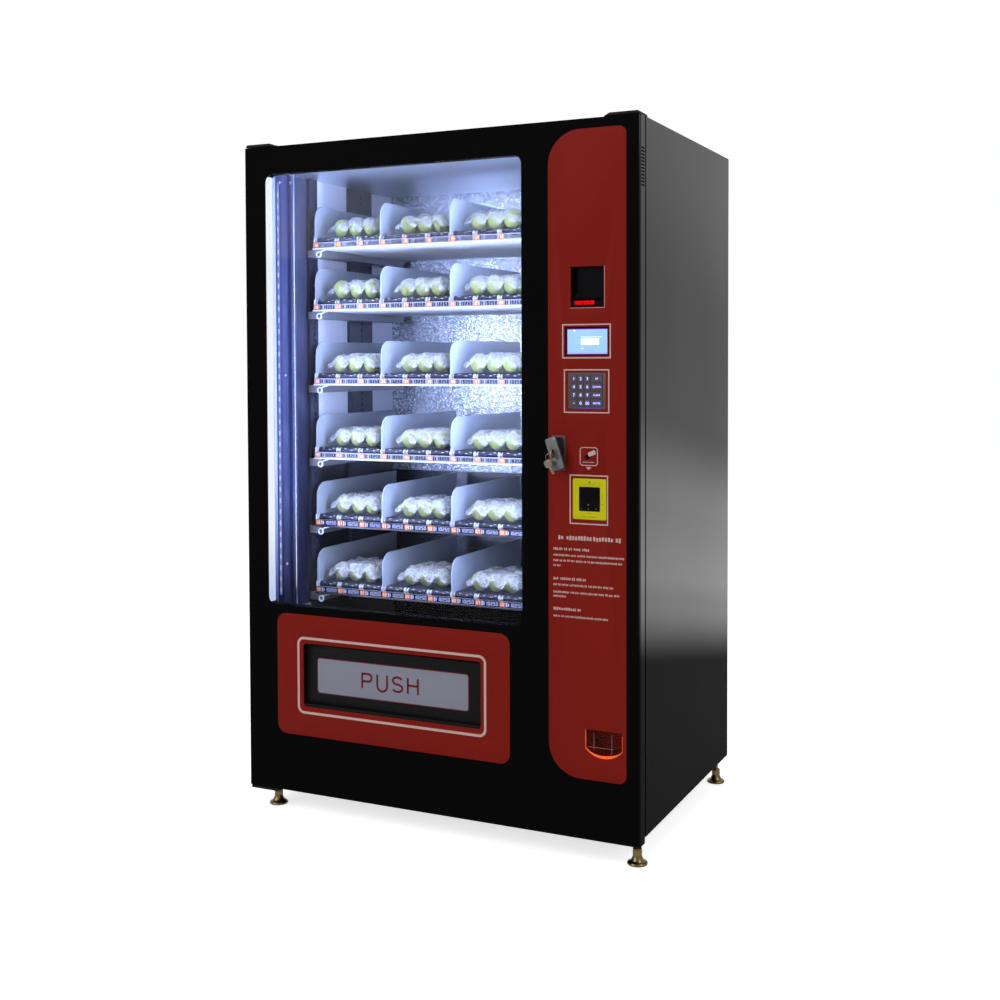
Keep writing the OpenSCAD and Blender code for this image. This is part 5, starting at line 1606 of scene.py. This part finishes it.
    def film(self, x: float, y: float, z: float, seed: int, white: float) -> tuple[Patch, np.ndarray]:
        """The crinkled clear wrap over a pack.

        Args:
            x: Middle of the pack.
            y: Depth of the front row.
            z: Height of the belt.
            seed: Seed of the crinkles.
            white: How much the whitened top covers, bunched film with a painted highlight.

        Returns:
            A dome over (u, v) of height H (1 - |u|^p)^(1/2) (1 - v^10)^(1/2) with p = 10 at the right and
            p = 5 at the left, where the film is drawn out into a flat skirt. It is lifted over each egg
            and drawn in between the eggs by cosines of the pack's pitch and roughened by seeded ripples.
            The cover at each point grows with the height, partly bunched film and partly a painted highlight
            on the top, reaches lower between the eggs and is densest along its own lower edge.
        """
        nu, nv = self.film_grid
        right, left = self.rounded_span(nu, 10.0), self.rounded_span(nu, 5.0)
        uu, vv = np.meshgrid(np.where(right < 0, left, right), self.rounded_span(nv, 10.0), indexing="ij")
        skirt = np.clip(-uu, 0, 1)
        px = (self.columns * self.egg_pitch / 2 + self.film_margin) * uu - self.skirt * skirt ** 8
        py = (self.rows * self.egg_pitch / 2 + self.film_margin) * vv
        side = np.clip(1 - np.where(uu < 0, skirt ** 5, uu ** 10), 0, 1)
        dome = np.sqrt(side * np.clip(1 - vv ** 10, 0, 1))
        over_x = 0.5 + 0.5 * np.cos(2 * np.pi * px / self.egg_pitch)
        over_y = 0.5 + 0.5 * np.cos(2 * np.pi * py / self.egg_pitch)
        share = dome * (0.86 + 0.14 * np.sqrt(over_x * over_y))
        px = px * (1 - 0.05 * (1 - over_y))
        py = py * (1 - 0.07 * (1 - over_x))
        depth = y + (self.rows - 1) * self.egg_pitch / 2 + py
        height = z + self.seat + (self.egg_h + self.film_lift) * share
        points = np.stack([x + px, depth, height], axis=-1)
        crinkle = ripple(points, seed, self.film_waves, self.film_wave) * np.sqrt(dome)
        rough = [1.1 * crinkle * np.sign(uu), 1.1 * crinkle * np.sign(vv), 1.6 * crinkle]
        points = points + np.stack(rough, axis=-1)
        points[..., 2] = np.maximum(points[..., 2], z + 0.8)
        low = 0.24 + 0.34 * over_x ** 1.5 - 0.05 * crinkle
        rise = np.clip((share - low) / 0.09, 0, 1)
        # The whitened top is partly bunched film and partly a painted highlight.
        bunched = white * rise * rise * (3 - 2 * rise) * (1 - 0.6 * skirt ** 6)
        hem = np.exp(-((share - low - 0.05) / 0.06) ** 2) * (1 - skirt ** 4)
        return grid(points), np.clip(0.05 + bunched + 0.28 * hem + 0.04 * crinkle, 0.03, 0.95)


@dataclass
class Door:
    """The door's shell, window and seal."""

    def build(self) -> None:
        """Dresses the shell, the glass and the seal."""
        dress("door_skin", PALETTE.black_coat)
        dress("door_inner_panel", PALETTE.black_matt)
        dress("window_glass", PALETTE.glass)
        dress("door_seal", PALETTE.rubber)


@dataclass
class ControlColumn:
    """The red control panel with its modules, lock and printed marks."""

    face: float = -3.0
    line_t: float = 0.25
    panel_edge: float = 0.8
    bill_light: Box = (422.0, 1382.8, 475.0, 1392.8)
    bill_edges: tuple[Box, ...] = ((505.2, 1375.0, 506.8, 1480.5), (413.0, 1373.6, 506.8, 1375.1))
    screen: Box = (401.6, 1256.4, 512.4, 1321.6)
    screen_frame: Box = (389.5, 1245.0, 523.0, 1333.5)
    messages: tuple[Box, ...] = ((440.0, 1280.0, 489.0, 1295.5), (440.0, 1299.5, 497.0, 1300.3),
                                 (419.0, 1315.0, 424.0, 1318.0), (440.0, 1270.0, 446.0, 1271.5))
    key_x: tuple[float, ...] = (422.0, 440.5, 459.0, 484.75)
    key_z: tuple[float, ...] = (1193.5, 1172.5, 1151.5, 1130.5)
    key_w: float = 15.5
    word_key_w: float = 30.0
    key_h: float = 17.0
    key_front: float = -3.6
    key_back: float = 3.8
    legends: tuple[tuple[str, ...], ...] = (("1", "2", "3", "UP"), ("4", "5", "6", "DOWN"),
                                            ("7", "8", "9", "CLEAR"), (".", "0", "00", "ENTER"))
    legend_h: Point = (2.0, 4.4, 7.6)
    keypad_lines: tuple[Box, ...] = ((424.0, 1117.0, 470.0, 1118.6), (473.0, 1117.0, 494.0, 1118.6))
    keypad_frame: Box = (394.0, 1105.0, 519.0, 1217.5)
    key_y: float = -49.0
    ring_place: Pair = (372.5, 992.5)
    ring_half: Point = (9.0, 2.0, 10.0)
    ring_wire: float = 0.8
    bow: Box = (-10.0, -9.5, 10.0, 9.5)
    blade: Box = (-3.0, -30.0, 3.0, -9.0)
    teeth: tuple[Box, ...] = ((2.8, -27.5, 4.2, -25.0), (2.8, -22.5, 4.6, -20.0), (2.8, -17.5, 4.0, -15.0))
    spare_place: Pair = (369.0, 976.0)
    spare_lean: float = -31.0
    card_mid: float = 465.0
    card_front: float = -5.0
    card_window: Box = (-28.6, 853.4, 28.6, 915.6)
    card_marks: tuple[Box, ...] = ((-17.0, 921.0, -5.0, 922.6), (-3.0, 921.0, 5.0, 922.6),
                                   (7.0, 921.0, 17.0, 922.6), (-7.0, 847.0, 5.0, 848.6),
                                   (-23.0, 838.0, -5.0, 839.4), (-2.0, 838.0, 19.0, 839.4),
                                   (33.5, 872.0, 39.0, 874.0), (34.0, 893.0, 36.0, 896.0))
    window_marks: tuple[Box, ...] = ((-4.5, 869.0, -2.0, 871.5), (-23.5, 858.0, -21.5, 859.6),
                                     (-4.5, 858.0, -2.0, 859.6), (17.0, 859.0, 18.6, 860.6))
    eye: tuple[Pair, ...] = ((0.0, -0.5), (1.6, -0.4), (2.2, 0.0), (0.0, 0.2))
    eye_z: float = 928.0
    card_frame: Box = (409.5, 818.5, 515.5, 946.5)
    symbol_frame: Box = (438.0, 970.0, 487.5, 1018.0)
    pointer: tuple[Pair, ...] = ((455.0, 967.0), (470.0, 967.0), (462.5, 959.5))
    symbol_card: Box = (460.5, 996.5, 481.5, 1007.5)
    symbol_slot: Box = (452.5, 987.5, 470.0, 999.0)
    symbol_lean: float = -24.0
    symbol_word: Box = (446.0, 978.0, 448.6, 980.4)
    symbol_pitch: float = 4.2
    text_rows: tuple[Box, ...] = (
        (782.0, 13.0, 378.0, 546.0), (752.5, 8.0, 364.0, 470.0), (736.0, 6.0, 364.0, 556.0),
        (722.0, 6.0, 364.0, 552.0), (709.0, 6.0, 364.0, 384.0), (675.0, 8.0, 364.0, 452.0),
        (659.0, 6.0, 364.0, 528.0), (640.0, 6.0, 364.0, 546.0), (629.0, 6.0, 364.0, 398.0),
        (596.0, 8.0, 364.0, 440.0), (577.0, 6.0, 364.0, 512.0))
    coin_place: Pair = (503.0, 289.0)
    coin_half: float = 51.0
    coin_side: float = 49.0
    coin_r: float = 68.0
    coin_rim_y: Pair = (-3.2, -0.5)
    coin_side_y: float = -1.6
    flap_ribs: tuple[Box, ...] = ((-31.0, -56.0, -30.0, -10.0), (18.0, -60.0, 19.2, -10.0),
                                  (-47.0, -48.0, 25.0, -47.0))

    def build(self) -> None:
        """Builds the panel's modules from top to bottom."""
        bevelled_copy("control_panel", PALETTE.red_coat, self.panel_edge)
        self.bill_acceptor()
        self.display()
        self.keypad()
        self.lock()
        self.card_reader()
        self.printing()
        self.coin_return()

    @staticmethod
    def add(name: str, patch: Patch, finish: Finish, slot: str = "gloss_black") -> None:
        """A piece that rides on the door."""
        make_piece(name, patch, finish, Body.DOOR)

    def printed_frame(self, name: str, box: Box, width: float) -> None:
        """A pale frame line printed on the red panel."""
        line = ring_frame(box, width, self.face - self.line_t, self.face, 1.0, 2)
        self.add(name, line, PALETTE.pale_print, "red_paint")

    def bill_acceptor(self) -> None:
        """The bill mask with its lit slot and pale edge."""
        dress("bill_acceptor", PALETTE.black_gloss)
        self.add("bill_light", soft_plate(self.bill_light, 2.8, 4.2, 2.4, 0.4), PALETTE.red_glow)
        edges = [block(box, self.face - self.line_t, self.face, 0.1) for box in self.bill_edges]
        self.add("bill_edge", joined(edges), PALETTE.edge_pink)

    def display(self) -> None:
        """The lit screen with a plain message box, and its printed frame."""
        dress("display", PALETTE.black_gloss)
        x0, z0, x1, z1 = self.screen
        self.add("screen", soft_plate(self.screen, 2.2, 3.0, 1.0, 0.2), PALETTE.screen)
        edge = ring_frame((x0 + 0.6, z0 + 0.2, x1 - 0.6, z1 - 0.6), 1.4, 2.05, 2.3, 1.0, 2)
        self.add("screen_edge", edge, PALETTE.screen_edge)
        foot = soft_plate((x0 + 0.6, z0 + 0.2, x1 - 0.6, z0 + 3.2), 2.0, 2.3, 0.5, 0.1)
        self.add("screen_foot", foot, PALETTE.screen_edge)
        rim = ring_frame((x0 - 3.0, z0 - 3.4, x1 + 3.0, z1 + 1.4), 3.4, 1.9, 2.3, 1.0, 2)
        self.add("screen_rim", rim, PALETTE.screen_rim)
        self.add("screen_message", flat_bars(np.array(self.messages), 2.2, 0.12), PALETTE.screen_box)
        self.printed_frame("screen_frame", self.screen_frame, 3.3)

    def keypad(self) -> None:
        """Dished keys with lit legends, in a brushed plate with a printed frame."""
        bevelled_copy("keypad_plate", PALETTE.keypad_metal, 0.4)
        for r, z in enumerate(self.key_z):
            for c, x in enumerate(self.key_x):
                self.key(f"key_r{r + 1}_c{c + 1}", (x, z), self.legends[r][c])
        lines = flat_bars(np.array(self.keypad_lines), -2.0, 0.15)
        self.add("keypad_glow", lines, PALETTE.legend_dim, "keypad_metal")
        self.printed_frame("keypad_frame", self.keypad_frame, 3.2)

    def key(self, name: str, middle: Pair, legend: str) -> None:
        """A key's dished top and its legend.

        Args:
            name: Name of the key's CAD node.
            middle: Middle of the key as (x, z).
            legend: What stands on it. A key with a word is wider and its letters are lower.
        """
        x, z = middle
        dot, word, number = self.legend_h
        w, h = (self.word_key_w if legend.isalpha() else self.key_w) / 2, self.key_h / 2
        top = soft_plate((x - w, z - h, x + w, z + h), self.key_front, self.key_back, 1.8, 0.7, 0.3, 4)
        make_piece(name + "_top", top, PALETTE.keypad_metal, name + "_cap", (name,))
        high = dot if legend == "." else (word if legend.isalpha() else number)
        letters = lettering(legend, middle, self.key_front + 0.32, high, 1.05, 0.14)
        make_piece(name + "_legend", letters, PALETTE.legend_glow, name + "_cap")

    def lock(self) -> None:
        """Lock plate, T-handle and key, with a second key on a ring."""
        bevelled_copy("lock_plate", PALETTE.die_cast, 0.8)
        bevelled_copy("lock_handle", PALETTE.zinc, 1.4, 3)
        bevelled_copy("lock_key", PALETTE.nickel, 0.5)
        t = full_turn(28)
        (x, z), (wide, deep, high) = self.ring_place, self.ring_half
        loop = np.column_stack([x + wide * np.cos(t), self.key_y + deep * np.cos(t), z + high * np.sin(t)])
        ring = tube(loop, self.ring_wire, 8, closed=True)
        make_piece("key_ring", ring, PALETTE.nickel, Body.TURNKEY)
        bow = soft_plate(self.bow, -1.1, 1.1, 5.0, 0.5)
        blade = soft_plate(self.blade, -1.0, 1.0, 1.0, 0.3)
        teeth = flat_bars(np.array(self.teeth), 0.8, 1.6)
        x, z = self.spare_place
        hung = joined([bow, blade, teeth]).turned(Axis.Y, self.spare_lean, (0.0, 0.0, 0.0))
        make_piece("spare_key", hung.moved(x, self.key_y, z), PALETTE.nickel, Body.TURNKEY)

    def card_reader(self) -> None:
        """Yellow card reader with a dark window, printed marks and its frame."""
        bevelled_copy("card_reader", PALETTE.yellow_plastic, 0.8)
        x, y = self.card_mid, self.card_front
        across = np.array([x, 0.0, x, 0.0])
        window = soft_plate(tuple(self.card_window + across), y + 0.5, y + 2.0, 2.6, 0.4)
        self.add("card_window", window, PALETTE.black_gloss)
        marks = flat_bars(np.array(self.card_marks) + across, y, 0.15)
        self.add("card_marks", marks, PALETTE.olive_print, "yellow_plastic")
        bits = flat_bars(np.array(self.window_marks) + across, y + 0.5, 0.1)
        self.add("card_window_marks", bits, PALETTE.grey_box)
        self.add("card_eye", lathe(list(self.eye), (x, y, self.eye_z), 16, Axis.Y), PALETTE.black_gloss)
        self.printed_frame("card_frame", self.card_frame, 3.3)

    def printing(self) -> None:
        """Printed marks on the red panel: a card symbol in a frame, a pointer and unreadable text."""
        y = self.face
        outline = ring_frame(self.symbol_frame, 2.2, y - 0.2, y, 8.0)
        tip = np.array(self.pointer)
        pointer = solid(np.stack([at_depth(tip, y - 0.2), at_depth(tip, y)]))
        card = soft_plate(self.symbol_card, y - 0.3, y, 3.0, 0.05)
        card = card.turned(Axis.Y, self.symbol_lean, (471.0, y, 1002.0))
        steps = np.outer(self.symbol_pitch * np.arange(8), [1.0, 0.0, 1.0, 0.0])
        words = flat_bars(self.symbol_word + steps, y, 0.12)
        self.add("card_symbol", joined([outline, pointer, card, words]), PALETTE.pale_print, "red_paint")
        slot = soft_plate(self.symbol_slot, y - 0.2, y, 2.0, 0.05)
        slot = slot.turned(Axis.Y, self.symbol_lean, (461.0, y, 993.0))
        self.add("card_symbol_slot", slot, PALETTE.black_gloss, "red_paint")
        self.add("text_lines", flat_bars(self.text_bars(), y, 0.12), PALETTE.pale_print, "red_paint")

    def text_bars(self) -> np.ndarray:
        """Unreadable text: words of seeded length made of upright bars of seeded height.

        Returns:
            One row of left, lower, right and upper side for each bar.
        """
        rng = np.random.default_rng(11)
        bars = []
        for z, high, x, end in self.text_rows:
            while x < end - 2.0:
                w = min(rng.uniform(1.0, 2.6) * high, end - x)
                for left in np.arange(x, x + w, high * 0.62):
                    below, above = rng.uniform(0.62, 1.0), rng.uniform(0.55, 1.0)
                    bars.append([left, z - high / 2 * below, left + high * 0.42, z + high / 2 * above])
                x += w + high * 0.55
        return np.array(bars)

    def coin_return(self) -> None:
        """Coin cup with painted light on its rim, and the ribbed clear flap.

        The rim's low part, painted light on the cup's lower lip, follows the cup's arc and is widest near its
        middle.
        """
        dress("coin_cup", PALETTE.amber_cup)
        dress("coin_flap", PALETTE.clear_plastic)
        (mid, top), half, side, r = self.coin_place, self.coin_half, self.coin_side, self.coin_r
        arc_z = top - side + math.sqrt(r * r - half * half)
        t = np.linspace(-math.asin(half / r), math.asin(half / r), 25)
        wide = 1.6 + 5.4 * np.sin(np.pi * np.linspace(0, 1, len(t)) ** 1.15) ** 1.4
        outer = np.column_stack([mid + (r - 0.4) * np.sin(t), arc_z - (r - 0.4) * np.cos(t)])
        inner = outer + np.column_stack([-0.6 * np.sin(t), wide])
        y0, y1 = self.coin_rim_y
        rows = [at_depth(outer, y0), at_depth(inner, y0), at_depth(inner, y1), at_depth(outer, y1)]
        low = solid(np.stack(rows, axis=1))
        self.add("coin_rim_low", low, PALETTE.amber_glow, "coin_cup_plastic")
        # Thin bars of painted light along the cup's left and right edges.
        left = np.column_stack([np.full(6, mid - half + 0.8), np.linspace(top - 2.0, top - side, 6)])
        right = np.column_stack([np.full(6, mid + half - 0.8), np.linspace(top - side, top - 8.0, 6)])
        bars = [tube(at_depth(line, self.coin_side_y), wire, 8) for line, wire in ((left, 0.9), (right, 0.7))]
        self.add("coin_rim_sides", joined(bars), PALETTE.amber_glow, "coin_cup_plastic")
        ribs = flat_bars(np.array(self.flap_ribs) + [mid, top, mid, top], 6.75, 0.5)
        make_piece("coin_flap_ribs", ribs, PALETTE.flap_rib, Body.COIN_DOOR)


@dataclass
class Hatch:
    """The lower red panel with the delivery flap and its sign."""

    face: float = -3.0
    line: Box = (-435.0, 231.0, 168.0, 452.5)
    line_w: float = 7.0
    line_r: float = 22.0
    sign: Box = (-373.5, 294.0, 107.5, 392.0)
    border: float = 2.5
    flap_front: float = 11.0
    word_place: Pair = (-226.0, 321.0)
    letter_h: float = 44.0
    letter_pitch: float = 49.0
    stroke: float = 6.2

    def build(self) -> None:
        """Builds the panel's outline, the surround, the flap and the sign."""
        bevelled_copy("hatch_panel", PALETTE.red_coat, 0.8)
        dress("hatch_surround", PALETTE.black_moulding)
        bevelled_copy("delivery_flap", PALETTE.black_moulding, 0.6)
        line = ring_frame(self.line, self.line_w, self.face - 0.25, self.face, self.line_r, 10)
        make_piece("hatch_line", line, PALETTE.pale_print, Body.DOOR)
        (x0, z0, x1, z1), y, b = self.sign, self.flap_front, self.border
        border = soft_plate((x0 - b, z0 - b, x1 + b, z1 + b), y - 1.2, y, 10.0, 0.4)
        plate = soft_plate(self.sign, y - 1.8, y - 1.0, 8.0, 0.3)
        for name, patch, finish in (("sign_border", border, PALETTE.sign_red),
                                    ("sign_plate", plate, PALETTE.sign_white),
                                    ("sign_word", self.word(y - 1.8), PALETTE.sign_red)):
            make_piece(name, patch, finish, Body.FLAP)

    def word(self, y: float) -> Patch:
        """The word PUSH in plain round strokes on the sign.

        Args:
            y: Depth of the sign's face.

        Returns:
            The strokes of all letters, joined.
        """
        stem = np.array([[0.0, 0.0], [0.0, 1.0]])
        bowl = np.concatenate([[[0.0, 0.95]], arc(0.46, 0.71, 0.24, 90, -90), [[0.0, 0.47]]])
        cup = np.concatenate([[[0.0, 1.0]], arc(0.36, 0.30, 0.36, 180, 360), [[0.72, 1.0]]])
        bends = np.concatenate([arc(0.36, 0.73, 0.225, 25, 268), arc(0.36, 0.27, 0.235, 88, -155)])
        bar = np.array([[0.0, 0.52], [0.72, 0.52]])
        letters = [[stem, bowl], [cup], [bends * [1.5, 1.0] - [0.18, 0.0]], [stem, stem + [0.72, 0.0], bar]]
        x0, z0 = self.word_place
        strokes = []
        for i, letter in enumerate(letters):
            start = np.array([x0 + i * self.letter_pitch, z0])
            strokes += [ribbon(start + path * self.letter_h, self.stroke, y, 0.3) for path in letter]
        return joined(strokes)


@dataclass
class Studio:
    """Camera, floor, world and lamps."""

    place: Point = (1682.9, -3098.8, 1234.1)
    yaw: float = 25.42
    pitch: float = -1.825
    roll: float = -0.189
    lens: float = 46.76
    shift_y: float = -0.0956
    lamps: tuple[tuple[str, Point, Point, float, float], ...] = (
        ("lamp_front", (-2.6, -4.6, 3.4), (0.0, 0.0, 1.0), 3.0, 165.0),
        ("lamp_right", (4.2, -1.6, 3.6), (0.3, 0.0, 1.0), 2.4, 80.0),
        ("lamp_top", (0.2, -0.6, 5.0), (0.0, 0.0, 0.5), 3.0, 90.0))
    bar_sides: tuple[Pair, Pair] = ((1.0, -524.0), (-1.0, 262.0))
    bar_z: float = 1222.0
    bar_size: Pair = (0.03, 1.06)
    bar_power: float = 18.0
    wall_power: float = 24.0
    bar_color: Rgb = (0.50, 0.60, 1.0)
    fill: float = 0.35
    floor_half: float = 14.0
    floor_glow: float = 0.72

    def build(self) -> None:
        """Sets up the view and the light."""
        bpy.context.scene.view_settings.view_transform = "Standard"
        self.camera()
        self.world()
        self.floor()
        for row in self.lamps:
            self.lamp(*row)
        for side, x in self.bar_sides:
            self.bar_lamp("bar_light", (x, 25.0, self.bar_z), (side, 0.15, 0.0), self.bar_power, 180.0)
        aim = (0.43, 0.90, 0.0)
        wall = self.bar_lamp("wall_light", (-505.0, 70.0, self.bar_z), aim, self.wall_power, 50.0)
        lit = bpy.data.collections.new("lit_by_wall_light")
        lit.objects.link(frame["nodes"]["rear_inner_wall"])
        wall.light_linking.receiver_collection = lit

    def camera(self) -> None:
        """The photograph's camera, looking along (-sin yaw cos pitch, cos yaw cos pitch, sin pitch)."""
        yaw, pitch, roll = (math.radians(v) for v in (self.yaw, self.pitch, self.roll))
        flat = math.cos(pitch)
        ahead = Vector((-math.sin(yaw) * flat, math.cos(yaw) * flat, math.sin(pitch)))
        right = ahead.cross(Vector((0, 0, 1))).normalized()
        up = right.cross(ahead)
        turned = right * math.cos(roll) + up * math.sin(roll)
        above = up * math.cos(roll) - right * math.sin(roll)
        data = bpy.data.cameras.new("camera")
        data.lens, data.sensor_width, data.shift_y = self.lens, 36.0, self.shift_y
        data.clip_start, data.clip_end = 0.05, 60.0
        made = linked("camera", data)
        made.matrix_world = Matrix((turned, above, -ahead)).transposed().to_4x4()
        made.matrix_world.translation = Vector(to_row(np.array(self.place)))
        bpy.context.scene.camera = made

    @staticmethod
    def seen(desk: NodeDesk) -> Socket:
        """One for camera, glossy and transmission rays, else nothing.

        Args:
            desk: The desk of the world or the floor.

        Returns:
            The value.
        """
        path = desk.add("ShaderNodeLightPath").outputs
        either = desk.math("MAXIMUM", path["Is Camera Ray"], path["Is Glossy Ray"])
        return desk.math("MAXIMUM", either, path["Is Transmission Ray"])

    def world(self) -> None:
        """White to the eye and in reflections, a plain level of light otherwise."""
        made = bpy.data.worlds.new("studio")
        desk = NodeDesk.cleared(made)
        strength = desk.spread(self.seen(desk), 0.0, 1.0, self.fill, 1.0)
        back = desk.add("ShaderNodeBackground", {"Color": (1.0, 1.0, 1.0), "Strength": strength})
        desk.feed(desk.add("ShaderNodeOutputWorld").inputs[0], back.outputs[0])
        bpy.context.scene.world = made

    def floor(self) -> None:
        """A wide pale floor that shows as white and keeps the machine's shadow."""
        signs = np.array([[-1.0, -1.0, 0.0], [1.0, -1.0, 0.0], [1.0, 1.0, 0.0], [-1.0, 1.0, 0.0]])
        mesh = bpy.data.meshes.new("floor")
        mesh.from_pydata(signs * self.floor_half, [], [(0, 1, 2, 3)])
        made = linked("floor", mesh)
        finish = bpy.data.materials.new("floor_white")
        desk = NodeDesk.cleared(finish)
        glow = desk.spread(self.seen(desk), 0.0, 1.0, 0.0, self.floor_glow)
        tone = desk.spread(desk.noise(desk.place(), 2.0, 3.0), 0.3, 0.7, 0.78, 0.82)
        look = {"Base Color": tone, "Roughness": 0.9, "Specular IOR Level": 0.1,
                "Emission Color": (1.0, 1.0, 1.0), "Emission Strength": glow}
        shader = desk.add("ShaderNodeBsdfPrincipled", look)
        desk.feed(desk.add("ShaderNodeOutputMaterial").inputs[0], shader.outputs[0])
        mesh.materials.append(finish)

    @staticmethod
    def lamp(name: str, place: Point, aim: Point, size: float, power: float) -> None:
        """A soft square lamp.

        Args:
            name: The lamp's name.
            place: Where it stands.
            aim: The point that it faces.
            size: Its side.
            power: Its power in watts.
        """
        data = bpy.data.lights.new(name, "AREA")
        data.shape, data.size, data.energy = "SQUARE", size, power
        made = linked(name, data)
        made.location = Vector(place)
        made.rotation_euler = (Vector(aim) - Vector(place)).to_track_quat("-Z", "Y").to_euler()

    def bar_lamp(self, name: str, place: Point, aim: Point, power: float, spread: float) -> bpy.types.Object:
        """The light that a light bar throws into the compartment.

        Args:
            name: The lamp's name.
            place: Its middle in the door's frame.
            aim: The direction in which it shines.
            power: Its power in watts.
            spread: Angle of its beam in degrees.

        Returns:
            The lamp.
        """
        data = bpy.data.lights.new(name, "AREA")
        data.shape = "RECTANGLE"
        data.size, data.size_y = self.bar_size
        data.energy, data.color, data.spread = power, self.bar_color, math.radians(spread)
        made = linked(name, data)
        made.location = Vector(to_row(np.array(place)))
        made.rotation_euler = Vector(aim).to_track_quat("-Z", "Y").to_euler()
        made.visible_camera = made.visible_transmission = False
        return made


def main() -> None:
    """Builds every sub-assembly in order."""
    logging.basicConfig(level=logging.INFO, format="%(name)s %(message)s")
    Studio().build()
    for part in (Cabinet(), Compartment(), TrayStack(), Door(), ControlColumn(), Hatch()):
        LOG.info("building %s", type(part).__name__)
        part.build()


if __name__ == "__main__":
    main()
